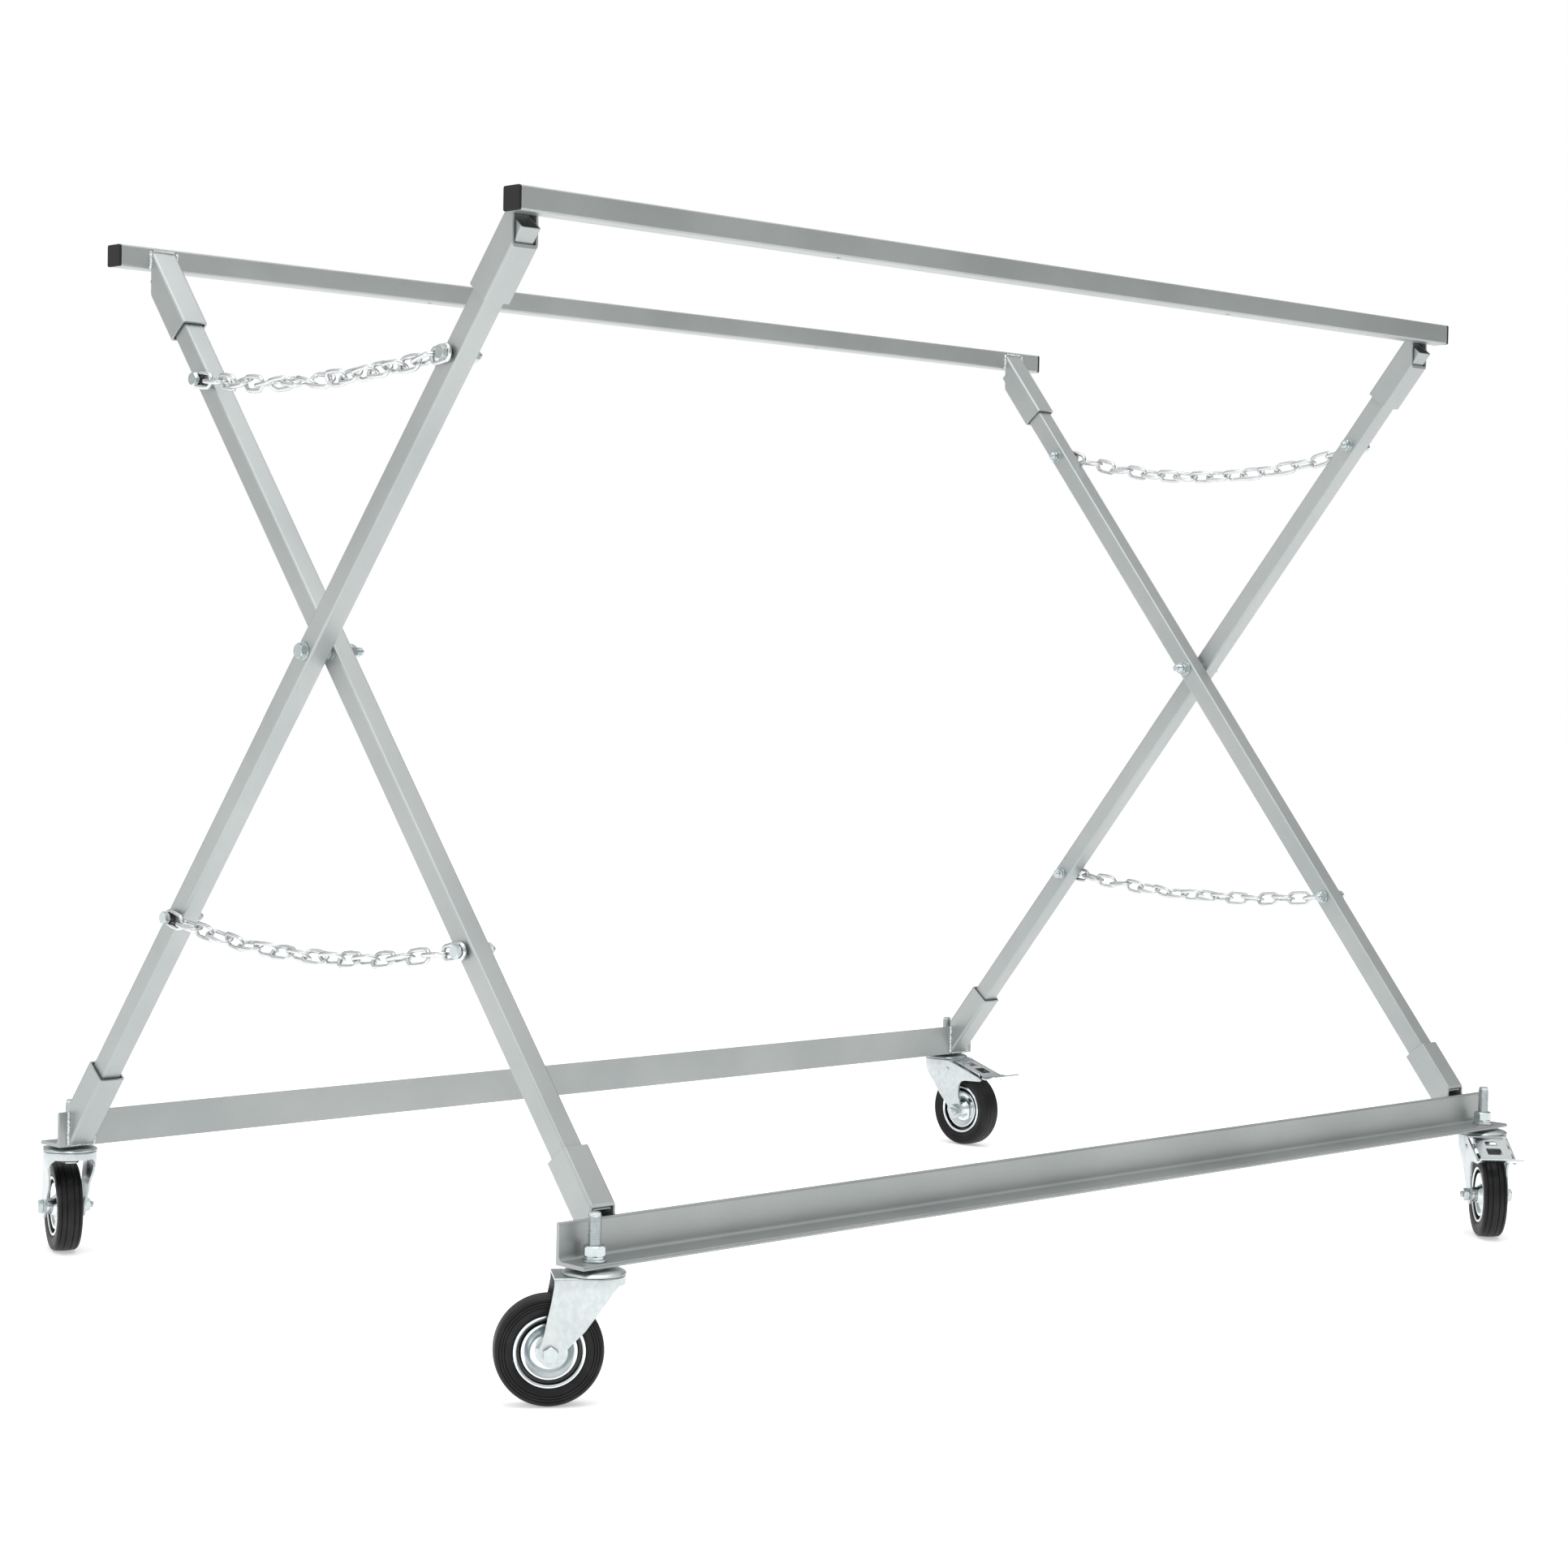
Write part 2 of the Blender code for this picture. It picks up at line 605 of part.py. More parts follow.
def stem_mesh():
    """The fixed half of the swivel: stud, spacer, race and the pin that the crown turns on."""
    radii = {
        "spacer": SPACER_RADIUS,
        "dome": DOME_RADIUS,
        "race": RACE_RADIUS,
        "kingpin": KINGPIN_RADIUS,
        "kingpin_head": KINGPIN_HEAD,
    }
    stud = rod(STEM_RADIUS, STEM_LEVELS["kingpin"][1], STEM_TOP, "Z")
    discs = [rod(radius, *STEM_LEVELS[name], "Z", DISC_SIDES) for name, radius in radii.items()]
    return mesh_of(joined(stud, *discs))


def stem_nut_mesh():
    """Flat washer, spring washer and hexagon nut on the stud, above the angle's flange."""
    floor = ANGLE_THICK + GAP
    washer_top = floor + NUT_WASHER[1]
    spring_top = washer_top + NUT_SPRING[1]
    washer = rod(NUT_WASHER[0], floor, washer_top, "Z", WASHER_SIDES)
    spring = rod(NUT_SPRING[0], washer_top - LAP, spring_top, "Z", ROUND_SIDES)
    nut = hexagon(NUT_HEXAGON, spring_top - LAP, spring_top + NUT_HEIGHT, "Z")
    bore = rod(STEM_RADIUS + GAP, 0, STEM_TOP, "Z")
    return mesh_of(cut(joined(washer, spring, nut), bore))


def axle_mesh():
    """Axle bolt, its head on the +Y side and its nut on the other."""
    face = CHEEK_INNER + CHEEK_THICK + GAP
    shank = rod(AXLE_RADIUS, -face - AXLE_THREAD_END, face + LAP, "Y")
    head = hexagon(AXLE_HEXAGON, face, face + AXLE_HEAD, "Y")
    nut = hexagon(AXLE_HEXAGON, -face - AXLE_NUT, -face, "Y")
    return mesh_of(joined(head, shank, nut))


def pedal_profile():
    """The brake pedal's plate from the side, from its pin at the origin, sloping down to a raised lip."""
    top = [(-0.0025, 0.0110), (0.012, 0.0090), (0.084, -0.0105), (0.094, -0.0105), (0.109, -0.0035)]
    return top + [(x, z - PEDAL_THICK) for x, z in reversed(top)]


def pedal_mesh():
    """A pressed plate that reaches over the tyre, with a wide lip, a shoe, two ears and a pin."""
    upright = Matrix.Rotation(math.pi / 2, 4, "X")
    plate = outline_solid(pedal_profile(), PEDAL_WIDTH, upright)
    lip = outline_solid(pedal_profile(), PEDAL_LIP_WIDTH, upright)
    narrow_stretch = box([2 * PEDAL_LIP_WIDTH] * 3, (PEDAL_LIP_FROM - PEDAL_LIP_WIDTH, 0, 0))
    lip = cut(lip, narrow_stretch)
    ear_size, ear_place = PEDAL_EAR
    ear_y = (PEDAL_WIDTH - ear_size[1]) / 2 - LAP
    ears = [box(ear_size, (ear_place[0], y, ear_place[1])) for y in (-ear_y, ear_y)]
    pin = rod(PEDAL_PIN_RADIUS, -PEDAL_PIN_REACH, PEDAL_PIN_REACH, "Y")
    shoe_size, shoe_place = PEDAL_SHOE
    shoe = box(shoe_size, (shoe_place[0], 0, shoe_place[1]))
    windows = [box((*PEDAL_WINDOW, DRILL_REACH), (x, 0, 0)) for x in PEDAL_WINDOWS_AT]
    return mesh_of(cut(joined(plate, lip, *ears, pin, shoe), *windows))


def make_casters():
    """Four swivel casters, two of them with a brake pedal, each on a holder that turns on its stem."""
    stem, nut, axle = stem_mesh(), stem_nut_mesh(), axle_mesh()
    hub, tyre, pedal = hub_mesh(), tyre_mesh(), pedal_mesh()
    forks = {braked: fork_mesh(braked) for braked in (False, True)}
    drop = WHEEL_RADIUS - CASTER_HEIGHT
    for corner, swivel in SWIVELS.items():
        row, end = corner.split("_")
        side = -1 if row == "front" else 1
        x = MIDDLE_X + ENDS[end] * (LENGTH / 2 - STEM_INSET_X)
        place = (x, side * (BOTTOM_HALF_GAP + STEM_FROM_FLANGE), CASTER_HEIGHT)
        name = f"caster_{corner}"
        braked = corner in BRAKED
        piece(f"{name}_stem", stem, "zinc", place, smooth=True)
        piece(f"{name}_stem_nut", nut, "zinc", place)
        holder = empty(f"{name}_swivel_axis", place, (0, 0, swivel))
        piece(f"{name}_fork", forks[braked], "zinc", parent=holder)
        piece(f"{name}_axle", axle, "zinc", (CASTER_TRAIL, 0, drop), parent=holder)
        piece(f"{name}_hub", hub, "zinc", (CASTER_TRAIL, 0, drop), parent=holder, smooth=True)
        piece(f"{name}_tyre", tyre, "rubber", (CASTER_TRAIL, 0, drop), parent=holder, smooth=True)
        if braked:
            pin_place = (PEDAL_PIN[0], 0, PEDAL_PIN[1])
            piece(f"{name}_brake_pedal", pedal, "zinc", pin_place, parent=holder)


clear_scene()
materials = make_materials()
trolley = new_collection("folding_trolley")
shapes = new_collection("shapes")
shapes.hide_render = True
make_frames()
make_casters()
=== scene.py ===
import json
import math
import random

import bmesh
import bpy
from mathutils import Matrix, Vector
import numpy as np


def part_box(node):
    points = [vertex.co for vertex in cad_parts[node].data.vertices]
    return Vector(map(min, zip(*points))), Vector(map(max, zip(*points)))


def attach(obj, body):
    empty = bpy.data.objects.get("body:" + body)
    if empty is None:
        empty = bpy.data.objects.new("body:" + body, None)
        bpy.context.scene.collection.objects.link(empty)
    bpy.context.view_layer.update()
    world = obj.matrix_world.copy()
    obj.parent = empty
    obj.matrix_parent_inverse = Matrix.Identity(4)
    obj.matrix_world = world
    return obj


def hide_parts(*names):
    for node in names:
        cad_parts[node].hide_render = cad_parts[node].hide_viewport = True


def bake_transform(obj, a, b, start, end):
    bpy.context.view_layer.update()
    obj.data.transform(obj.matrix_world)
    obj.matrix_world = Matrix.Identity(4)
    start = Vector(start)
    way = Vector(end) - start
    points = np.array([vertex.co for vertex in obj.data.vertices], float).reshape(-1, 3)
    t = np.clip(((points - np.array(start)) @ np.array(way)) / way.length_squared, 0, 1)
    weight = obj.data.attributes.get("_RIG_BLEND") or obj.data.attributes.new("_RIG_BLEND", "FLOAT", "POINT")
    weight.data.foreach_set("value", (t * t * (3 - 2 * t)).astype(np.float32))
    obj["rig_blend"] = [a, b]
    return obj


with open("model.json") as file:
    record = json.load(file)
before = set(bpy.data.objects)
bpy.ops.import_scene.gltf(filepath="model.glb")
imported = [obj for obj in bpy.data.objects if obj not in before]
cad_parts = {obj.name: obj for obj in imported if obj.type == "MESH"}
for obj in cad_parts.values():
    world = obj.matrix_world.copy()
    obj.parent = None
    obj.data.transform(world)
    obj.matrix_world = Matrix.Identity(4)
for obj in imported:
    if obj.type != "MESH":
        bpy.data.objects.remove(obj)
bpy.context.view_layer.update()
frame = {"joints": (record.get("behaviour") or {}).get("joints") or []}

mm = 0.001


# ---- places that everything else is worked out from ----

jointOf = {joint["name"]: joint for joint in frame["joints"]}
pivot = Vector(jointOf["frame_fold"]["pos_m"])
halfLeg = 15 * mm
legX = {kind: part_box(f"{kind}_leg_right")[1].x - halfLeg - pivot.x for kind in ("outer", "inner")}
lean = math.radians(39)
frameTilt = {"outer": lean, "inner": -lean}
signOf = {"left": -1, "right": 1, "front": -1, "back": 1, "upper": 1, "lower": -1}


# ---- camera first, then the lights and the floor ----

view = {"place": (-3.2735, -3.3584, pivot.z), "turn": (87.759, -1.128, -43.913), "lens": 72.49}
bpy.ops.object.camera_add(location=view["place"], rotation=[math.radians(a) for a in view["turn"]])
camera = bpy.context.object
camera.data.lens = view["lens"]
camera.data.sensor_width = 36
camera.data.clip_end = 60
bpy.context.scene.camera = camera
print("camera ready")


# ---- shader helpers ----

class Signal:
    # one output socket, so that shader maths reads as plain arithmetic
    def __init__(self, paint, socket):
        self.paint = paint
        self.socket = socket

    def maths(self, kind, *values):
        return self.paint.add("ShaderNodeMath", {"operation": kind}, dict(enumerate(values)))

    def __add__(self, other):
        return self.maths("ADD", self, other)

    def __sub__(self, other):
        return self.maths("SUBTRACT", self, other)

    def __rsub__(self, other):
        return self.maths("SUBTRACT", other, self)

    def __mul__(self, other):
        return self.maths("MULTIPLY", self, other)

    __radd__ = __add__
    __rmul__ = __mul__

    def between(self, low, high):
        # 0 at low, 1 at high, smooth in between
        values = {"Value": self, "From Min": low, "From Max": high}
        return self.paint.add("ShaderNodeMapRange", {"interpolation_type": "SMOOTHSTEP"}, values)


class Nodes:
    # a short way to add nodes to one tree
    def __init__(self, tree):
        self.tree = tree

    def add(self, kind, settings={}, values={}, out=0):
        node = self.tree.nodes.new(kind)
        for key, value in settings.items():
            setattr(node, key, value)
        for key, value in values.items():
            self.plug(node.inputs[key], value)
        return Signal(self, node.outputs[out])

    def plug(self, socket, value):
        if isinstance(value, Signal):
            self.tree.links.new(value.socket, socket)
        else:
            socket.default_value = value


class Paint(Nodes):
    # one material with its Principled shader
    def __init__(self, name, colour, roughness, metallic, **fixed):
        self.material = bpy.data.materials.new(name)
        self.material.use_nodes = True
        super().__init__(self.material.node_tree)
        self.shader = self.tree.nodes["Principled BSDF"]
        self.set("Base Color", (*colour, 1))
        self.set("Roughness", roughness)
        self.set("Metallic", metallic)
        for socket, value in fixed.items():
            self.set(socket.replace("_", " "), value)
        self.here = self.add("ShaderNodeTexCoord", out="Object")

    def set(self, name, value):
        self.plug(self.shader.inputs[name], value)

    def noise(self, scale, detail=2, rough=0.5, stretch=None, out=0):
        place = self.here
        if stretch:
            place = self.add("ShaderNodeMapping", {}, {"Vector": self.here, "Scale": stretch})
        values = {"Vector": place, "Scale": scale, "Detail": detail, "Roughness": rough}
        return self.add("ShaderNodeTexNoise", {}, values, out)

    def mix(self, share, first, second):
        first = (*first, 1) if isinstance(first, tuple) else first
        second = (*second, 1) if isinstance(second, tuple) else second
        values = {0: share, 6: first, 7: second}
        return self.add("ShaderNodeMix", {"data_type": "RGBA"}, values, out=2)

    def bump(self, height, distance, strength=1.0):
        values = {"Height": height, "Distance": distance, "Strength": strength}
        self.set("Normal", self.add("ShaderNodeBump", {}, values))


def makeSilverPaint(name, tone=1.0, scale=0.0):
    # satin silver-grey lacquer: fine flake, slight orange peel, and mill scale showing through if asked
    look = {"light": (0.466, 0.494, 0.488), "dark": (0.396, 0.424, 0.421)}
    light = tuple(c * tone for c in look["light"])
    dark = tuple(c * tone for c in look["dark"])
    paint = Paint(name, light, 0.42, 0.72, Coat_Weight=0.12, Coat_Roughness=0.25)
    cloud = paint.noise(5, 3)
    flake = paint.noise(900, 1)
    peel = paint.noise(380, 2)
    paint.set("Base Color", paint.mix((cloud * 0.7 + flake * 0.3).between(0.34, 0.66), dark, light))
    paint.set("Roughness", 0.38 + flake * 0.05 + cloud * 0.05)
    height = peel * 0.5 + flake * 0.04
    if scale:
        pits = paint.noise(260, 4, 0.6).between(0.42, 0.62)
        height = height + pits * scale
    paint.bump(height, 0.00010, 0.20)
    return paint.material


def makeZinc(name, tone=(0.60, 0.645, 0.655), shine=0.24, texture=1.0):
    # bright zinc plate: cold faint spangle, a breath of yellow passivate, fine rolling marks
    paint = Paint(name, tone, shine, 1.0)
    spangle = paint.noise(130, 3, 0.6)
    patch = paint.noise(24, 2)
    grain = paint.noise(700, 2, stretch=(1, 1, 0.12))
    dull = tuple(c * (1 - 0.13 * texture) for c in tone)
    warm = tuple(c * w for c, w in zip(tone, (1.02, 1.0, 0.95)))
    cold = paint.mix(spangle.between(0.35, 0.68), dull, tone)
    paint.set("Base Color", paint.mix(patch.between(0.50, 0.72) * 0.6, cold, warm))
    paint.set("Roughness", shine + spangle * 0.12 * texture + grain * 0.03)
    paint.bump(grain * 0.3 + spangle * 0.7, 0.00008 * texture, 0.35)
    return paint.material


def makeRubber():
    # black tyre rubber with a dull bloom and moulding grain
    paint = Paint("tyreRubber", (0.010, 0.010, 0.010), 0.40, 0.0, Specular_IOR_Level=0.28)
    bloom = paint.noise(40, 3)
    grain = paint.noise(1400, 2)
    dark, dusty = (0.007,) * 3, (0.014,) * 3
    paint.set("Base Color", paint.mix(bloom.between(0.45, 0.75), dark, dusty))
    paint.set("Roughness", 0.34 + bloom * 0.12 + grain * 0.06)
    paint.bump(grain, 0.00008, 0.5)
    return paint.material


def makeBlackPlastic():
    # moulded end cap, spark-eroded grain
    paint = Paint("capPlastic", (0.010, 0.010, 0.011), 0.50, 0.0, Specular_IOR_Level=0.35)
    grain = paint.noise(900, 3, 0.6)
    paint.set("Base Color", paint.mix(grain, (0.007, 0.007, 0.008), (0.015, 0.015, 0.016)))
    paint.set("Roughness", 0.46 + grain * 0.16)
    paint.bump(grain, 0.00012, 0.6)
    return paint.material


def makeDarkSteelAndGrooveShade():
    # oiled bearing steel and the sleeves behind the bolt heads; also used as painted shade down in the hubs'
    # groove
    paint = Paint("darkSteelAndGrooveShade", (0.05, 0.05, 0.052), 0.38, 0.85)
    film = paint.noise(160, 3)
    paint.set("Base Color", paint.mix(film, (0.03, 0.03, 0.032), (0.09, 0.09, 0.092)))
    paint.set("Roughness", 0.30 + film * 0.2)
    return paint.material


def makeWeld():
    # silver lacquer over a rippled bead, glossier than the tube; its colour is painted lighter than the
    # tube's lacquer as a painted highlight
    paint = Paint("weldBead", (0.66, 0.68, 0.67), 0.22, 0.85, Coat_Weight=0.5, Coat_Roughness=0.1)
    rippleGlint = paint.noise(300, 3)
    # painted highlight: the bead is coloured lighter than the tube's lacquer, mottled with painted glints
    # along the ripples
    paint.set("Base Color", paint.mix(rippleGlint.between(0.3, 0.7), (0.46, 0.48, 0.47), (0.78, 0.80, 0.79)))
    paint.set("Roughness", 0.16 + rippleGlint * 0.18)
    paint.bump(rippleGlint, 0.00025, 0.6)
    return paint.material


finishes = {
    "paint": makeSilverPaint("silverPaint"),
    "scaledPaint": makeSilverPaint("silverPaintOnAngle", 0.93, 0.9),
    "zinc": makeZinc("zincPlate"),
    "chain": makeZinc("chainZinc", (0.70, 0.72, 0.725), 0.20, 0.4),
    "bolt": makeZinc("boltZinc", (0.60, 0.655, 0.665), 0.22, 0.6),
    "wheel": makeZinc("hubZinc", (0.76, 0.81, 0.82), 0.13, 0.35),
    "rubber": makeRubber(),
    "plastic": makeBlackPlastic(),
    "dark": makeDarkSteelAndGrooveShade(),
    "weld": makeWeld(),
}
print("finishes ready")


# ---- floor, sky and soft lights ----

def makeSky():
    # the camera sees plain white; the metal sees a bright ceiling, brighter on the left,
    # with a dark screen low on the right
    tone = {"wall": 0.43, "ceiling": 0.50, "left": 0.25, "screen": 0.22}
    world = bpy.data.worlds.new("studio")
    world.use_nodes = True
    sky = Nodes(world.node_tree)
    direction = sky.add("ShaderNodeTexCoord", out="Generated")
    across, high = [sky.add("ShaderNodeSeparateXYZ", {}, {"Vector": direction}, axis) for axis in "XZ"]
    level = tone["wall"] + high.between(0.15, 0.95) * tone["ceiling"]
    level = level + (0 - across).between(-0.2, 0.9) * tone["left"]
    screen = across.between(0.40, 0.80) * (0.6 - high).between(0, 0.2)
    level = level - screen * tone["screen"]
    seen = sky.add("ShaderNodeLightPath", out="Is Camera Ray")
    background = sky.tree.nodes["Background"]
    background.inputs["Color"].default_value = (1, 1, 1, 1)
    sky.plug(background.inputs["Strength"], level + seen * (1 - level))
    bpy.context.scene.world = world
    bpy.context.scene.view_settings.view_transform = "Standard"


def makeStage():
    studio = {"floorSize": 60, "floorTone": 0.97, "glow": 0.42}
    bpy.ops.object.select_all(action="DESELECT")
    bpy.ops.mesh.primitive_plane_add(size=studio["floorSize"], location=(0, 0, -0.0005))
    floor = bpy.context.object
    floor.name = "floor"
    tone = (studio["floorTone"],) * 3
    paper = Paint("floorPaper", tone, 0.9, 0.0, Specular_IOR_Level=0.2, Emission_Strength=studio["glow"])
    paper.set("Emission Color", (1, 1, 1, 1))
    paper.set("Base Color", paper.mix(paper.noise(3), tuple(t * 0.995 for t in tone), tone))
    floor.data.materials.append(paper.material)


def softBox(name, place, aim, size, power):
    bpy.ops.object.light_add(type="AREA", location=place)
    lamp = bpy.context.object
    lamp.name = name
    lamp.data.shape = "RECTANGLE"
    lamp.data.size, lamp.data.size_y = size
    lamp.data.energy = power
    lamp.rotation_euler = (Vector(aim) - Vector(place)).to_track_quat("-Z", "Y").to_euler()


makeSky()
makeStage()
softBox("topSoft", (-0.5, -0.8, 4.2), (0, 0, 0.5), (3.5, 3.5), 55)
softBox("leftSoft", (-4.5, 0.6, 2.2), (0, 0, 0.8), (2.2, 2.8), 16)
print("stage ready")


# ---- modelling helpers: everything is picked by place or by direction ----

def freshStart():
    if bpy.context.object and bpy.context.object.mode == "EDIT":
        bpy.ops.object.mode_set(mode="OBJECT")
    bpy.ops.object.select_all(action="DESELECT")


def addBlock(size, centre=(0, 0, 0)):
    freshStart()
    bpy.ops.mesh.primitive_cube_add(size=1, location=centre)
    block = bpy.context.object
    block.scale = size
    bpy.ops.object.transform_apply(location=True, rotation=True, scale=True)
    return block


def addDisc(radius, depth, centre=(0, 0, 0), sides=48):
    freshStart()
    bpy.ops.mesh.primitive_cylinder_add(vertices=sides, radius=radius, depth=depth, location=centre)
    bpy.ops.object.transform_apply(location=True, rotation=True, scale=True)
    return bpy.context.object


def pick(piece, kind, test):
    # leaves the piece in edit mode with only what passes the test selected
    bpy.context.view_layer.objects.active = piece
    if piece.mode != "EDIT":
        bpy.ops.object.mode_set(mode="EDIT")
    bpy.ops.mesh.select_mode(type=kind)
    bpy.ops.mesh.select_all(action="DESELECT")
    shape = bmesh.from_edit_mesh(piece.data)
    parts = {"FACE": shape.faces, "EDGE": shape.edges, "VERT": shape.verts}[kind]
    for part in parts:
        if test(part):
            part.select_set(True)
    shape.select_flush_mode()
    bmesh.update_edit_mesh(piece.data)


def runsAlong(edge, axis):
    line = edge.verts[1].co - edge.verts[0].co
    return line.length > 0 and abs(line[axis]) > 0.9 * line.length


def middleOf(part):
    # of a face or an edge
    if hasattr(part, "calc_center_median"):
        return part.calc_center_median()
    return (part.verts[0].co + part.verts[1].co) / 2


def applyPlace(piece):
    freshStart()
    piece.select_set(True)
    bpy.context.view_layer.objects.active = piece
    bpy.ops.object.transform_apply(location=True, rotation=True, scale=True)


def tidyNormals(piece):
    pick(piece, "FACE", lambda face: True)
    bpy.ops.mesh.remove_doubles(threshold=0.000005)
    bpy.ops.mesh.select_all(action="SELECT")
    bpy.ops.mesh.normals_make_consistent(inside=False)
    bpy.ops.object.mode_set(mode="OBJECT")


def applyModifier(piece, kind, **settings):
    freshStart()
    piece.select_set(True)
    bpy.context.view_layer.objects.active = piece
    modifier = piece.modifiers.new(kind.lower(), kind)
    for key, value in settings.items():
        setattr(modifier, key, value)
    bpy.ops.object.modifier_apply(modifier=modifier.name)


def easeEdges(piece, width, segments=2, angle=40):
    applyModifier(piece, "BEVEL", width=width, segments=segments, limit_method="ANGLE",
                  angle_limit=math.radians(angle), use_clamp_overlap=True)


def smoothLook(piece, angle=38, weighted=True):
    freshStart()
    piece.select_set(True)
    bpy.context.view_layer.objects.active = piece
    bpy.ops.object.shade_smooth_by_angle(angle=math.radians(angle))
    if weighted:
        applyModifier(piece, "WEIGHTED_NORMAL", keep_sharp=True)


def joinPieces(pieces):
    freshStart()
    for piece in pieces:
        piece.select_set(True)
    bpy.context.view_layer.objects.active = pieces[0]
    bpy.ops.object.join()
    return bpy.context.object


def hand(piece, name, finish, body, *nodes):
    # names a finished piece, gives it its finish, and fixes it to its body in place of the CAD nodes
    applyPlace(piece)
    piece.name = name
    piece.data.name = name
    if not len(piece.data.materials):
        piece.data.materials.append(finishes[finish])
    if body:
        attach(piece, body)
    if nodes:
        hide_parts(*nodes)
    return piece


def copyTo(master, name, turn, place):
    # one more of a finished master, with its own mesh
    twin = master.copy()
    twin.data = master.data.copy()
    twin.name = name
    bpy.context.scene.collection.objects.link(twin)
    twin.matrix_world = Matrix.Translation(place) @ Matrix.Rotation(turn, 4, "Z")
    applyPlace(twin)
    return twin


def discard(*masters):
    for master in masters:
        bpy.data.objects.remove(master)


def mirrored(piece):
    # flips a piece to the other end, and turns its faces out again
    freshStart()
    piece.select_set(True)
    piece.scale = (-1, 1, 1)
    applyPlace(piece)
    tidyNormals(piece)


# ---- square tubes: legs, rails and sockets ----

tube = {"legSide": 2 * halfLeg, "legWall": 2 * mm, "legCorner": 3.0 * mm, "socketSide": 40 * mm,
        "socketWall": 3 * mm, "socketCorner": 4.2 * mm, "socketLength": 130 * mm, "rimEase": 0.35 * mm}


def makeTube(side, wall, corner, start, end):
    # along +Z: round the long corners, inset both ends by the wall, and bridge the two insets
    piece = addBlock((side, side, end - start), (0, 0, (start + end) / 2))
    pick(piece, "EDGE", lambda edge: runsAlong(edge, 2))
    bpy.ops.mesh.bevel(offset=corner, segments=4, affect="EDGES")
    pick(piece, "FACE", lambda face: abs(face.normal.z) > 0.9)
    bpy.ops.mesh.inset(thickness=wall, use_individual=True)
    bpy.ops.mesh.bridge_edge_loops()
    return piece


def finishTube(piece):
    tidyNormals(piece)
    easeEdges(piece, tube["rimEase"], 1, 50)
    smoothLook(piece)


def makeLegs():
    low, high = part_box("outer_leg_left")
    reach = {"top": high.z - pivot.z, "bottom": pivot.z - low.z}
    half = tube["legSide"] / 2
    for kind, tilt in frameTilt.items():
        top = (reach["top"] - half * math.sin(abs(tilt))) / math.cos(tilt)
        bottom = (reach["bottom"] - half * math.sin(abs(tilt))) / math.cos(tilt)
        for end in ("left", "right"):
            leg = makeTube(tube["legSide"], tube["legWall"], tube["legCorner"], -bottom, top)
            bpy.ops.object.mode_set(mode="OBJECT")
            leg.rotation_euler = (tilt, 0, 0)
            leg.location = pivot + Vector((signOf[end] * legX[kind], 0, 0))
            applyPlace(leg)
            finishTube(leg)
            hand(leg, f"{kind}Leg_{end}", "paint", f"{kind}_frame", f"{kind}_leg_{end}")


def makeSockets():
    # a sleeve round each leg's end, cut upright where it meets its rail or angle
    rows = {
        "front_top": ("outer", -1, abs(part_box("front_top_rail")[1].y)),
        "back_bottom": ("outer", 1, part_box("back_bottom_angle")[0].y),
        "back_top": ("inner", 1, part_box("back_top_rail")[0].y),
        "front_bottom": ("inner", -1, abs(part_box("front_bottom_angle")[1].y)),
    }
    for row, (kind, side, plane) in rows.items():
        tilt = frameTilt[kind]
        up = 1 if "top" in row else -1
        longReach = (plane + tube["socketSide"] / 2 * math.cos(tilt)) / math.sin(abs(tilt))
        near, far = longReach - tube["socketLength"], longReach + tube["socketSide"]
        start, end = (near, far) if up > 0 else (-far, -near)
        for at in ("left", "right"):
            socket = makeTube(tube["socketSide"], tube["socketWall"], tube["socketCorner"], start, end)
            bpy.ops.object.mode_set(mode="OBJECT")
            socket.rotation_euler = (tilt, 0, 0)
            socket.location = pivot + Vector((signOf[at] * legX[kind], 0, 0))
            applyPlace(socket)
            pick(socket, "FACE", lambda face: True)
            cut = side * (plane - 0.3 * mm)
            bpy.ops.mesh.bisect(plane_co=(0, cut, 0), plane_no=(0, side, 0), clear_outer=True)
            pick(socket, "EDGE", lambda edge: edge.is_boundary)
            bpy.ops.mesh.bridge_edge_loops()
            finishTube(socket)
            name = row.replace("_top", "Top").replace("_bottom", "Bottom")
            hand(socket, f"{name}Sleeve_{at}", "paint", f"{kind}_frame", f"{row}_socket_{at}")


def makeRails():
    hole = {"radius": 3.5 * mm, "deep": 6 * mm, "places": (-405 * mm, 405 * mm)}
    for row, kind in (("front", "outer"), ("back", "inner")):
        low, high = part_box(f"{row}_top_rail")
        middle = (low + high) / 2
        start, end = low.x - middle.x, high.x - middle.x
        rail = makeTube(tube["legSide"], tube["legWall"], tube["legCorner"], start, end)
        bpy.ops.object.mode_set(mode="OBJECT")
        rail.rotation_euler = (0, math.pi / 2, 0)
        rail.location = middle
        applyPlace(rail)
        finishTube(rail)
        drills = []
        for x in hole["places"]:
            drills.append(addDisc(hole["radius"], hole["deep"], (pivot.x + x, middle.y, low.z), 24))
        drill = joinPieces(drills)
        applyPlace(drill)
        applyModifier(rail, "BOOLEAN", operation="DIFFERENCE", object=drill, solver="EXACT")
        discard(drill)
        smoothLook(rail)
        hand(rail, f"{row}Rail", "paint", f"{kind}_frame", f"{row}_top_rail")


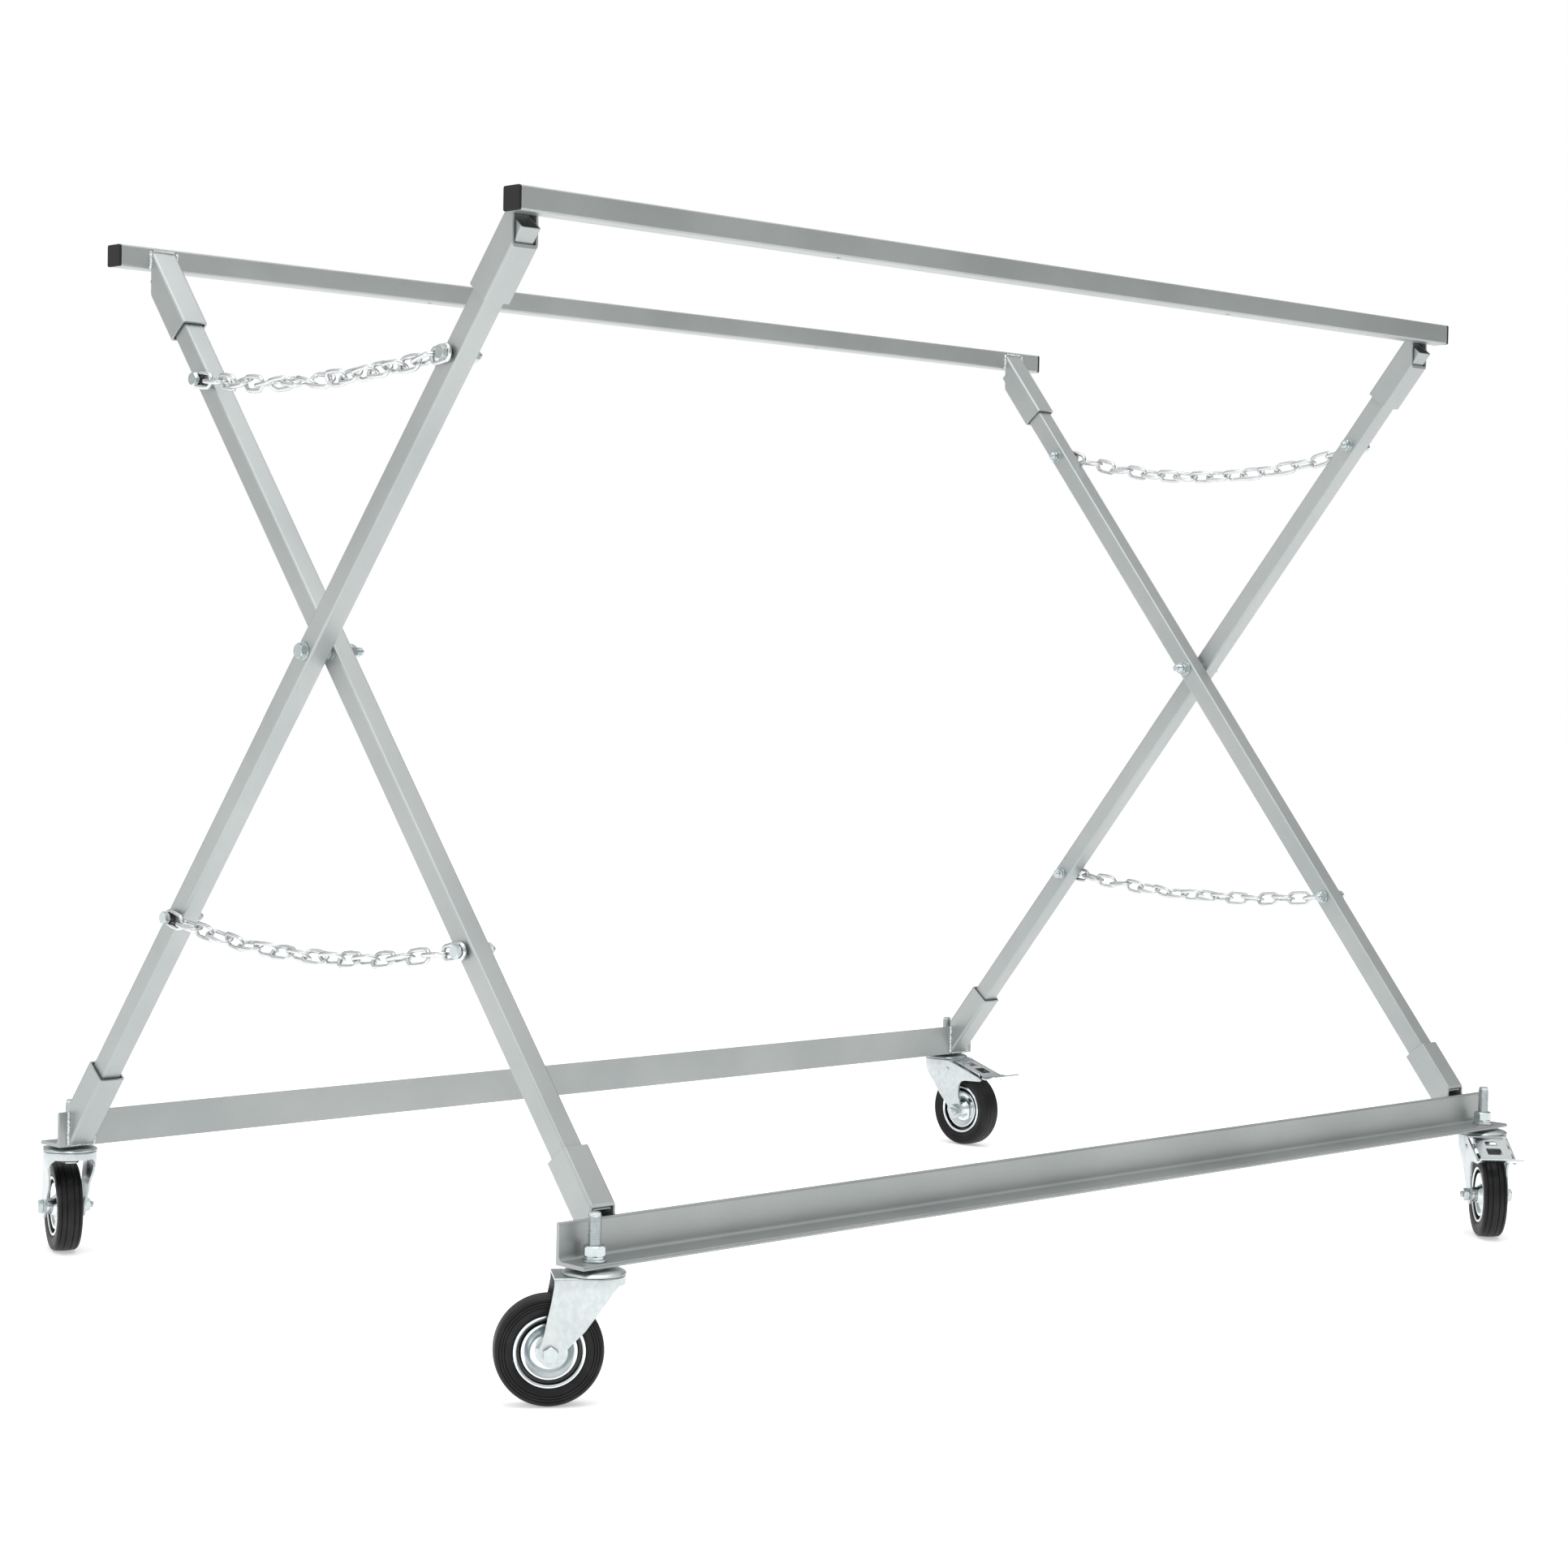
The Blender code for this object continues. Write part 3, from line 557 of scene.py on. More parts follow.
def makeCaps():
    # a thin square head with rounded corners and a hollow plug inside the rail
    cap = {"head": 4 * mm, "corner": 2.6 * mm, "edge": 0.8 * mm, "plug": 23 * mm, "plugWall": 1.8 * mm}
    for row, kind in (("front", "outer"), ("back", "inner")):
        for end in ("left", "right"):
            node = f"{row}_top_rail_cap_{end}"
            low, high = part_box(node)
            out = signOf[end]
            face = high.x if out > 0 else low.x
            centre = Vector((face - out * cap["head"] / 2, (low.y + high.y) / 2, (low.z + high.z) / 2))
            head = addBlock((cap["head"], high.y - low.y, high.z - low.z), centre)
            pick(head, "EDGE", lambda edge: runsAlong(edge, 0))
            bpy.ops.mesh.bevel(offset=cap["corner"], segments=4, affect="EDGES")
            bpy.ops.object.mode_set(mode="OBJECT")
            easeEdges(head, cap["edge"], 3, 60)
            depth = (high.x - low.x) - cap["head"] - 0.2 * mm
            inside = centre - Vector((out * (cap["head"] + depth) / 2, 0, 0))
            plug = addBlock((depth, cap["plug"], cap["plug"]), inside)
            pick(plug, "FACE", lambda part: part.normal.x * out < -0.9)
            bpy.ops.mesh.inset(thickness=cap["plugWall"], depth=0)
            bpy.ops.mesh.extrude_region_move(TRANSFORM_OT_translate={"value": (out * depth * 0.8, 0, 0)})
            bpy.ops.object.mode_set(mode="OBJECT")
            piece = joinPieces([head, plug])
            smoothLook(piece)
            hand(piece, f"{row}Cap_{end}", "plastic", f"{kind}_frame", node)


makeLegs()
makeSockets()
makeRails()
makeCaps()
print("tubes ready")


# ---- angle irons ----

def makeAngles():
    iron = {"leg": 50 * mm, "thick": 5 * mm, "root": 6.5 * mm, "toe": 2.6 * mm, "heel": 0.8 * mm}
    for row, kind in (("front", "inner"), ("back", "outer")):
        node = f"{row}_bottom_angle"
        low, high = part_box(node)
        out = signOf[row]
        heelY = low.y if out > 0 else high.y
        thick = iron["thick"]
        centre = ((low.x + high.x) / 2, heelY + out * thick / 2, low.z + thick / 2)
        piece = addBlock((high.x - low.x, thick, thick), centre)
        applyPlace(piece)
        pick(piece, "FACE", lambda face: face.normal.z > 0.9)
        bpy.ops.mesh.extrude_region_move(TRANSFORM_OT_translate={"value": (0, 0, iron["leg"] - thick)})
        floorTop = low.z + thick
        pick(piece, "FACE", lambda face: face.normal.y * out > 0.9 and middleOf(face).z < floorTop)
        ledge = out * (iron["leg"] - thick)
        bpy.ops.mesh.extrude_region_move(TRANSFORM_OT_translate={"value": (0, ledge, 0)})
        root = Vector((0, heelY + out * thick, floorTop))
        pick(piece, "EDGE",
             lambda edge: runsAlong(edge, 0) and (middleOf(edge) - root).yz.length < 0.1 * mm)
        bpy.ops.mesh.bevel(offset=iron["root"], segments=6, affect="EDGES")
        toes = [Vector((0, heelY + out * thick, high.z)), Vector((0, heelY + out * iron["leg"], floorTop))]
        pick(piece, "EDGE", lambda edge: runsAlong(edge, 0)
             and min((middleOf(edge) - toe).yz.length for toe in toes) < 0.1 * mm)
        bpy.ops.mesh.bevel(offset=iron["toe"], segments=4, affect="EDGES")
        tidyNormals(piece)
        easeEdges(piece, iron["heel"], 2, 50)
        smoothLook(piece)
        hand(piece, f"{row}Angle", "scaledPaint", f"{kind}_frame", node)


makeAngles()
print("angles ready")


# ---- hexagon fittings: bolts, nuts, washers and threads, made along +Z and then laid along +X ----

fitting = {"washerEase": 0.25 * mm, "threadSteps": 20}


def turnToX(piece):
    freshStart()
    piece.select_set(True)
    piece.rotation_euler = (0, math.pi / 2, 0)
    applyPlace(piece)


def makeHexagon(acrossFlats, start, end, roundEnds="both"):
    # a hexagon whose corners are turned off, as on a real nut
    radius = acrossFlats / math.sqrt(3)
    piece = addDisc(radius, end - start, (0, 0, (start + end) / 2), 6)
    bpy.ops.object.mode_set(mode="EDIT")
    bpy.ops.mesh.select_all(action="SELECT")
    bpy.ops.mesh.subdivide(number_cuts=3)
    bpy.ops.object.mode_set(mode="OBJECT")
    turner = addDisc(acrossFlats * 0.515, end - start, (0, 0, (start + end) / 2), 36)
    pick(turner, "FACE", lambda face: abs(face.normal.z) < 0.5)
    bpy.ops.transform.resize(value=(1.16, 1.16, 1))
    for side in (1, -1):
        pick(turner, "EDGE", lambda edge: abs(edge.verts[0].co.z - edge.verts[1].co.z) < 0.001 * mm
             and (edge.verts[0].co.z - (start + end) / 2) * side > 0)
        if roundEnds in ("both", "end" if side > 0 else "start"):
            bpy.ops.mesh.bevel(offset=acrossFlats * 0.10, segments=1, affect="EDGES")
    bpy.ops.object.mode_set(mode="OBJECT")
    applyModifier(piece, "BOOLEAN", operation="INTERSECT", object=turner, solver="EXACT")
    discard(turner)
    tidyNormals(piece)
    return piece


def makeWasher(outer, inner, start, end):
    piece = addDisc(outer, end - start, (0, 0, (start + end) / 2), 40)
    pick(piece, "FACE", lambda face: abs(face.normal.z) > 0.9)
    bpy.ops.mesh.inset(thickness=outer - inner, use_individual=True)
    bpy.ops.mesh.bridge_edge_loops()
    easeEdges(piece, fitting["washerEase"], 1, 50)
    return piece


def makeThread(radius, pitch, start, end):
    # one tooth edge wound by a Screw modifier, over a plain core that closes it
    depth = pitch * 0.55
    core = addDisc(radius - depth * 0.8, end - start, (0, 0, (start + end) / 2), 24)
    pick(core, "FACE", lambda face: face.normal.z > 0.9)
    bpy.ops.mesh.inset(thickness=pitch * 0.5, depth=pitch * 0.4)
    bpy.ops.object.mode_set(mode="OBJECT")
    freshStart()
    bpy.ops.mesh.primitive_plane_add(size=pitch * 0.5)
    tooth = bpy.context.object
    pick(tooth, "VERT", lambda vert: True)
    bpy.ops.mesh.merge(type="CENTER")
    bpy.ops.transform.translate(value=(radius - depth, 0, start))
    bpy.ops.mesh.extrude_region_move(TRANSFORM_OT_translate={"value": (depth, 0, pitch * 0.44)})
    bpy.ops.mesh.extrude_region_move(TRANSFORM_OT_translate={"value": (0, 0, pitch * 0.12)})
    bpy.ops.mesh.extrude_region_move(TRANSFORM_OT_translate={"value": (-depth, 0, pitch * 0.44)})
    bpy.ops.object.mode_set(mode="OBJECT")
    turns = max(1, int((end - start) / pitch) - 1)
    steps = fitting["threadSteps"]
    applyModifier(tooth, "SCREW", axis="Z", screw_offset=pitch, iterations=turns, steps=steps,
                  render_steps=steps, use_merge_vertices=True, merge_threshold=0.000001)
    tidyNormals(tooth)
    return [core, tooth]


def finishFitting(parts, angle=32):
    piece = joinPieces(parts)
    smoothLook(piece, angle, weighted=False)
    return piece


def placeTip(tip, height=0.0):
    # turns a thread to point down from the given height
    for part in tip:
        part.rotation_euler = (math.pi, 0, 0)
        part.location = (0, 0, height)
        applyPlace(part)
    return tip


def makeChainBolt():
    # origin on the leg's middle line: nut inside the rack, head outside with a dark sleeve under it
    bolt = {"headFrom": 11.0 * mm, "head": 6.4 * mm, "flats": 16 * mm, "radius": 5 * mm, "pitch": 1.5 * mm,
            "nut": 8.4 * mm, "beyond": 5.5 * mm, "washer": 9.5 * mm, "collar": 7.4 * mm, "sleeve": 6.6 * mm}
    face, radius = halfLeg, bolt["radius"]
    under = face + bolt["headFrom"]
    nutFrom = -face - 2.3 * mm
    head = makeHexagon(bolt["flats"], under, under + bolt["head"], "end")
    shank = addDisc(radius * 0.97, face + under + 2 * mm, (0, 0, bolt["headFrom"] / 2), 24)
    collar = makeWasher(bolt["collar"], radius, under - 1.8 * mm, under - 0.2 * mm)
    washer = makeWasher(bolt["washer"], radius, nutFrom, -face - 0.3 * mm)
    nut = makeHexagon(bolt["flats"], nutFrom - bolt["nut"], nutFrom, "start")
    tip = placeTip(makeThread(radius, bolt["pitch"], 0, bolt["nut"] + bolt["beyond"]), nutFrom)
    piece = finishFitting([head, shank, collar, washer, nut, *tip])
    turnToX(piece)
    sleeve = makeWasher(bolt["sleeve"], radius, face + 0.2 * mm, under - 1.9 * mm)
    smoothLook(sleeve, 40, weighted=False)
    turnToX(sleeve)
    return piece, sleeve


def makePivotBolt():
    outer = legX["outer"] + halfLeg
    inner = legX["inner"] - halfLeg
    bolt = {"flats": 18 * mm, "head": 7.5 * mm, "radius": 6 * mm, "pitch": 1.75 * mm, "washer": 12 * mm,
            "nut": 10.2 * mm, "beyond": 12.5 * mm}
    gap = {"near": 0.3 * mm, "far": 2.7 * mm, "spacer": 15.4 * mm}
    wide, radius = bolt["washer"], bolt["radius"]
    headFrom, nutFrom = outer + gap["far"], inner - gap["far"]
    outWasher = makeWasher(wide, radius, outer + gap["near"], headFrom)
    head = makeHexagon(bolt["flats"], headFrom, headFrom + bolt["head"], "end")
    shank = addDisc(radius * 0.97, outer - inner + 4 * mm, (0, 0, (outer + inner) / 2), 24)
    spacer = makeWasher(wide, radius, legX["inner"] + gap["spacer"], legX["outer"] - gap["spacer"])
    inWasher = makeWasher(wide, radius, nutFrom, inner - gap["near"])
    nut = makeHexagon(bolt["flats"], nutFrom - bolt["nut"], nutFrom, "start")
    tip = placeTip(makeThread(radius, bolt["pitch"], 0, bolt["nut"] + bolt["beyond"]), nutFrom)
    piece = finishFitting([outWasher, head, shank, spacer, inWasher, nut, *tip])
    turnToX(piece)
    return piece


def placeFitting(master, name, end, place, turn, finish, body, *nodes):
    piece = copyTo(master, name, 0, (0, 0, 0))
    if signOf[end] < 0:
        mirrored(piece)
    piece.rotation_euler = (turn, 0, 0)
    piece.location = place
    return hand(piece, name, finish, body, *nodes)


def makeBolts():
    random.seed(11)
    chainBolt, sleeve = makeChainBolt()
    pivotBolt = makePivotBolt()
    for end in ("left", "right"):
        placeFitting(pivotBolt, f"pivotBolt_{end}", end, pivot, random.uniform(0, 1), "bolt",
                     "outer_frame", f"pivot_bolt_{end}")
        for level in ("upper", "lower"):
            for kind in ("outer", "inner"):
                place = chainBoltPlace(kind, end, level)
                turn = random.uniform(0, 1.04)
                name = f"{kind}ChainBolt_{end}_{level}"
                placeFitting(chainBolt, name, end, place, turn, "bolt", f"{kind}_frame",
                             f"chain_bolt_{kind}_{end}_{level}")
                name = f"{kind}ChainSleeve_{end}_{level}"
                placeFitting(sleeve, name, end, place, 0, "dark", f"{kind}_frame")
    discard(chainBolt, sleeve, pivotBolt)


def chainBoltPlace(kind, end, level):
    # on the leg's middle line, where the bolt goes through
    reach = chain["boltReach"] * signOf[level]
    tilt = frameTilt[kind]
    return pivot + Vector((signOf[end] * legX[kind], -reach * math.sin(tilt), reach * math.cos(tilt)))


# ---- chains: one welded link, copied along each sagging line ----

chain = {"boltReach": 470 * mm, "links": 18, "pitch": 33.8 * mm, "wire": 6 * mm, "width": 25 * mm,
         "standOff": 6.2 * mm, "boltRadius": 5 * mm,
         "sag": {"left_upper": 18 * mm, "left_lower": 30 * mm, "right_upper": 42 * mm,
                 "right_lower": 20 * mm},
         "jumble": {"left_upper": 0.50, "left_lower": 0.16, "right_upper": 0.14, "right_lower": 0.30}}


def makeLink():
    wire = chain["wire"] / 2
    bendRadius = chain["width"] / 2 - wire
    straight = chain["pitch"] + chain["wire"] - 2 * bendRadius
    freshStart()
    bpy.ops.mesh.primitive_torus_add(major_radius=bendRadius, minor_radius=wire, major_segments=20,
                                     minor_segments=10)
    link = bpy.context.object
    pick(link, "VERT", lambda vert: vert.co.x > 0.1 * mm)
    bpy.ops.transform.translate(value=(straight / 2, 0, 0))
    pick(link, "VERT", lambda vert: vert.co.x < -0.1 * mm)
    bpy.ops.transform.translate(value=(-straight / 2, 0, 0))
    # the butt weld swells one side
    pick(link, "VERT", lambda vert: abs(vert.co.x) < 0.1 * mm and vert.co.y > 0)
    bpy.ops.transform.resize(value=(1, 1.16, 1.16), center_override=(0, bendRadius, 0))
    bpy.ops.object.mode_set(mode="OBJECT")
    smoothLook(link, 80, weighted=False)
    return link


def chainLine(end, level, steps=600):
    # the hanging line from the inner frame's bolt to the outer frame's: points, and distances along it
    first, last = chainBoltPlace("inner", end, level), chainBoltPlace("outer", end, level)
    for point, kind in ((first, "inner"), (last, "outer")):
        point.x = pivot.x + signOf[end] * (legX[kind] + halfLeg + chain["standOff"])
    sag = chain["sag"][f"{end}_{level}"]
    points, along = [], [0.0]
    for step in range(steps + 1):
        share = step / steps
        point = first.lerp(last, share)
        point.z -= 4 * sag * share * (1 - share)
        if points:
            along.append(along[-1] + (point - points[-1]).length)
        points.append(point)
    return points, along


def pointAt(points, along, distance):
    distance = max(0.0, min(along[-1], distance))
    index = min(len(points) - 2, int(distance / along[-1] * (len(points) - 1)))
    while along[index + 1] < distance and index < len(points) - 2:
        index += 1
    share = (distance - along[index]) / (along[index + 1] - along[index])
    return points[index].lerp(points[index + 1], share)


def makeChain(link, end, level):
    key = f"{end}_{level}"
    points, along = chainLine(end, level)
    random.seed(len(key) * 7 + int(chain["sag"][key] * 1000))
    count = chain["links"]
    boltRadius = chain["boltRadius"]
    pitch = (along[-1] + 2 * boltRadius) / count
    parts = []
    for number in range(count):
        centre = pitch * (number + 0.5) - boltRadius
        start = pointAt(points, along, max(0, centre - pitch / 2))
        finish = pointAt(points, along, min(along[-1], centre + pitch / 2))
        line = (finish - start).normalized()
        place = pointAt(points, along, centre)
        loose = chain["jumble"][key] * math.sin(math.pi * (number + 0.5) / count)
        spin = (number % 2) * math.pi / 2 + random.uniform(-1, 1) * loose
        spin += math.pi / 2 * number / (count - 1)  # the chain takes a quarter turn from bolt to bolt
        outward = Vector((signOf[end], 0, 0))
        side = line.cross(outward).normalized()
        upright = Matrix((line, side, line.cross(side))).transposed()
        twin = link.copy()
        twin.data = link.data.copy()
        bpy.context.scene.collection.objects.link(twin)
        tip = Matrix.Rotation(random.uniform(-0.10, 0.10) * (1 + 2 * loose), 3, "Y")
        lift = side * random.uniform(-1, 1) * loose * 2.5 * mm
        turned = upright @ Matrix.Rotation(spin, 3, "X") @ tip
        twin.matrix_world = Matrix.Translation(place + lift) @ turned.to_4x4()
        applyPlace(twin)
        parts.append(twin)
    pointsPerLink = len(link.data.vertices)
    piece = joinPieces(parts)
    hand(piece, f"linkChain_{key}", "chain", None, f"chain_{key}")
    route = [pointAt(points, along, along[-1] * step / 30) for step in range(31)]
    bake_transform(piece, "inner_frame", "outer_frame", start=points[0], end=points[-1])
    # each link keeps one share of the fold, so that it stays a stiff link while the chain closes up
    shareOf = piece.data.attributes["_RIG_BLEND"].data
    for first in range(0, len(piece.data.vertices), pointsPerLink):
        block = range(first, first + pointsPerLink)
        middle = sum((piece.data.vertices[index].co for index in block), Vector()) / pointsPerLink
        span = points[-1] - points[0]
        share = (middle - points[0]).dot(span) / span.length_squared
        share = 0 if share < 1 / count else 1 if share > 1 - 1 / count else share * share * (3 - 2 * share)
        for index in block:
            shareOf[index].value = share


def makeChains():
    link = makeLink()
    for end in ("left", "right"):
        for level in ("upper", "lower"):
            makeChain(link, end, level)
    discard(link)


makeChains()
print("chains ready")
makeBolts()
print("bolts ready")


# ---- casters: each part is modelled once, with the trail towards +X ----
# what goes round the stem has the angle's underside at z = 0; wheel and axle have the axle at the origin

caster = {"studRadius": 8 * mm, "studTop": 62 * mm, "studPitch": 2.0 * mm, "flange": 5 * mm, "sheet": 3 * mm,
          "crownRadius": 37.4 * mm, "crownTop": -9.2 * mm, "skirt": -20 * mm, "cheekY": 29.5 * mm,
          "rearY": 30.8 * mm}
rollPlace = Vector(jointOf["caster_front_left_roll"]["pos_m"])
turnPlace = Vector(jointOf["caster_front_left_turn"]["pos_m"])
trail = (rollPlace - turnPlace).xy.length
axleDrop = rollPlace.z - turnPlace.z
wheelRadius = rollPlace.z


def drawPath(points, close=False):
    # one vertex, extruded from point to point
    freshStart()
    bpy.ops.mesh.primitive_plane_add(size=1 * mm)
    path = bpy.context.object
    pick(path, "VERT", lambda vert: True)
    bpy.ops.mesh.merge(type="CENTER")
    bpy.ops.transform.translate(value=points[0])
    for before, after in zip(points, points[1:]):
        move = Vector(after) - Vector(before)
        bpy.ops.mesh.extrude_region_move(TRANSFORM_OT_translate={"value": move})
    if close:
        bpy.ops.mesh.select_all(action="SELECT")
        bpy.ops.mesh.edge_face_add()
    bpy.ops.object.mode_set(mode="OBJECT")
    return path


def turnProfile(profile, steps=64):
    # profile is a closed ring of (radius, height), spun about the Z axis
    ring = drawPath([(radius, 0, height) for radius, height in profile + profile[:1]])
    pick(ring, "VERT", lambda vert: True)
    bpy.ops.mesh.remove_doubles(threshold=0.000001)
    bpy.ops.mesh.select_all(action="SELECT")
    bpy.ops.mesh.spin(steps=steps, angle=2 * math.pi, center=(0, 0, 0), axis=(0, 0, 1), dupli=False)
    bpy.ops.object.mode_set(mode="OBJECT")
    tidyNormals(ring)
    return ring


def standAcross(piece):
    # turns a part made about Z so that its axis lies along Y
    freshStart()
    piece.select_set(True)
    piece.rotation_euler = (math.pi / 2, 0, 0)
    applyPlace(piece)


def inMm(points):
    return [tuple(value * mm for value in point) for point in points]


def makeStem():
    # threaded stud, then the domed race with its rolled rim, and the kingpin that ends below the crown
    race = inMm([(5, -0.4), (14, -0.4), (14, -2.4), (17, -2.6), (24, -2.8), (30, -3.5), (34.5, -4.9),
                 (37.2, -6.6), (38.0, -7.8), (37.5, -8.8), (36.2, -8.7), (34.0, -7.6), (29.5, -6.2),
                 (23.5, -5.4), (9, -5.4), (9, -24.4), (12, -24.6), (12.4, -25.6), (11.4, -27.4),
                 (8.5, -28.0), (5, -28.0)])
    stud = makeThread(caster["studRadius"], caster["studPitch"], 0.5 * mm, caster["studTop"])
    return finishFitting([turnProfile(race), *stud], 40)


def makeBearing():
    # the dark balls' grease ring between race and crown
    ring = turnProfile(inMm([(12.5, -5.6), (33.0, -7.6), (34.6, -8.4), (34.6, -9.0), (12.5, -9.0)]), 48)
    smoothLook(ring, 40, weighted=False)
    return ring


def makeStudNut():
    floorTop = caster["flange"] + 0.3 * mm
    washer = makeWasher(15 * mm, caster["studRadius"] + 0.2 * mm, floorTop, floorTop + 2.5 * mm)
    spring = makeWasher(12.3 * mm, caster["studRadius"] + 0.3 * mm, floorTop + 2.5 * mm, floorTop + 5.7 * mm)
    gap = addBlock((9 * mm, 0.9 * mm, 8 * mm), (9 * mm, 0, floorTop + 4 * mm))
    gap.rotation_euler = (math.radians(24), 0, 0)
    gap.location = (0, 1.8 * mm, 0)
    applyPlace(gap)
    applyModifier(spring, "BOOLEAN", operation="DIFFERENCE", object=gap, solver="EXACT")
    discard(gap)
    nut = makeHexagon(24 * mm, floorTop + 5.8 * mm, floorTop + 18.6 * mm, "both")
    return finishFitting([washer, spring, nut])


def crownOutline(rear, steps=40):
    # seen from above: straight rear sides that run into the round crown
    radius = caster["crownRadius"]
    meet = math.asin(31.5 * mm / radius)
    points = [(rear, -caster["rearY"], caster["crownTop"])]
    for step in range(steps + 1):
        turn = -meet - (2 * math.pi - 2 * meet) * step / steps
        points.append((radius * math.cos(turn), radius * math.sin(turn), caster["crownTop"]))
    points.append((rear, caster["rearY"], caster["crownTop"]))
    return points


def cheekSide(along, height):
    # how far a cheek stands from the middle: round under the crown, then drawn in to a flat plate at the axle
    radius = caster["crownRadius"]
    if along < 19.9 * mm:
        top = math.sqrt(max(radius ** 2 - along ** 2, (20 * mm) ** 2))
    else:
        share = min(1, (along - 19.9 * mm) / (28 * mm))
        top = 31.6 * mm + (caster["rearY"] - 31.6 * mm) * share
    share = min(1, max(0, (-height - 20 * mm) / (42 * mm)))
    share = share * share * (3 - 2 * share)
    return top + (caster["cheekY"] - top) * share


def cheekOutline(braked):
    # (trail, height) round one cheek, starting at the crown's skirt and going down the trailing edge
    points = [(-27, -20), (19.5, -20)]
    if braked:
        points += [(20.5, -12.5), (40, -12.5), (76, -24), (112, -36.6), (114, -39.4), (111, -41.2),
                   (92, -42.2), (74, -43), (65.5, -45.5), (60.5, -51), (58.5, -58), (58.5, -70), (61.5, -82)]
    else:
        points += [(48.6, -20), (52, -38), (57, -62), (61, -82)]
    boss = {"x": trail / mm - 2.5, "z": axleDrop / mm + 0.5, "radius": 16.8}
    for step in range(10):
        turn = math.radians(20 - 215 * step / 9)
        reach = boss["radius"]
        points.append((boss["x"] + reach * math.cos(turn), boss["z"] + reach * math.sin(turn)))
    points += [(12, -72), (-2, -53), (-19.5, -27)]
    return [(x * mm, 0, z * mm) for x, z in points]


def makeCheek(braked):
    cheek = drawPath(cheekOutline(braked), close=True)
    for axis, first, last in ((0, -36, 112), (2, -112, -16)):
        direction = Vector((0, 0, 0))
        direction[axis] = 1
        for place in range(first, last, 4):
            pick(cheek, "FACE", lambda face: True)
            bpy.ops.mesh.bisect(plane_co=direction * place * mm, plane_no=direction)
    pick(cheek, "VERT", lambda vert: True)
    for vert in bmesh.from_edit_mesh(cheek.data).verts:
        vert.co.y = cheekSide(vert.co.x, vert.co.z)
    bmesh.update_edit_mesh(cheek.data)
    bpy.ops.mesh.normals_make_consistent(inside=False)
    shape = bmesh.from_edit_mesh(cheek.data)
    if sum(face.normal.y for face in shape.faces) < 0:
        bpy.ops.mesh.flip_normals()
    bpy.ops.object.mode_set(mode="OBJECT")
    applyModifier(cheek, "SOLIDIFY", thickness=caster["sheet"], offset=-1)
    return cheek


def makeCrown(braked):
    crown = drawPath(crownOutline((38 if braked else 48.6) * mm), close=True)
    pick(crown, "FACE", lambda face: True)
    fall = caster["skirt"] - caster["crownTop"]
    bpy.ops.mesh.extrude_region_move(TRANSFORM_OT_translate={"value": (0, 0, fall)})
    bpy.ops.mesh.delete(type="FACE")
    pick(crown, "FACE", lambda face: abs(face.normal.x) > 0.99 and middleOf(face).x > 30 * mm)
    bpy.ops.mesh.delete(type="FACE")
    bpy.ops.object.mode_set(mode="OBJECT")
    tidyNormals(crown)
    pick(crown, "EDGE", lambda edge: not edge.is_boundary
         and abs(edge.verts[0].co.z - edge.verts[1].co.z) < 0.01 * mm
         and edge.verts[0].co.z > caster["crownTop"] - 0.1 * mm)
    bpy.ops.mesh.bevel(offset=2.2 * mm, segments=3, affect="EDGES")
    bpy.ops.object.mode_set(mode="OBJECT")
    top = max(crown.data.polygons, key=lambda face: face.area)
    if top.normal.z < 0:
        pick(crown, "FACE", lambda face: True)
        bpy.ops.mesh.flip_normals()
        bpy.ops.object.mode_set(mode="OBJECT")
    applyModifier(crown, "SOLIDIFY", thickness=caster["sheet"], offset=-1)
    return crown


def makeFork(braked):
    near = makeCheek(braked)
    far = makeCheek(braked)
    far.scale = (1, -1, 1)
    applyPlace(far)
    tidyNormals(far)
    crown = makeCrown(braked)
    parts = [near, far, crown]
    if braked:
        for side in (1, -1):
            rivet = addDisc(3.6 * mm, 1.6 * mm, (0, 0, 0), 20)
            pick(rivet, "FACE", lambda face: abs(face.normal.z) > 0.9)
            bpy.ops.mesh.inset(thickness=1.2 * mm, depth=0.7 * mm, use_individual=True)
            bpy.ops.object.mode_set(mode="OBJECT")
            standAcross(rivet)
            rivet.location = (32 * mm, side * (cheekSide(32 * mm, -26 * mm) + 0.6 * mm), -26 * mm)
            applyPlace(rivet)
            parts.append(rivet)
    for part in parts[:3]:
        easeEdges(part, 0.45 * mm, 2, 55)
    fork = joinPieces(parts)
    smoothLook(fork, 42)
    return fork


def makeAxle():
    face = caster["cheekY"] + 0.2 * mm
    head = makeHexagon(17 * mm, face, face + 6.4 * mm, "end")
    disc = addDisc(7 * mm, 0.4 * mm, (0, 0, face + 6.5 * mm), 32)
    nut = makeHexagon(17 * mm, -face - 8.4 * mm, -face, "both")
    shank = addDisc(4.9 * mm, 2 * face, (0, 0, 0), 20)
    tip = placeTip(makeThread(5 * mm, 1.5 * mm, face, face + 13 * mm))
    axle = finishFitting([head, disc, nut, shank, *tip])
    axle.rotation_euler = (-math.pi / 2, 0, 0)
    applyPlace(axle)
    return axle


def bothSides(half):
    # a ring profile that is the same on both sides of the wheel's middle plane
    return half + [(radius, -height) for radius, height in reversed(half)]


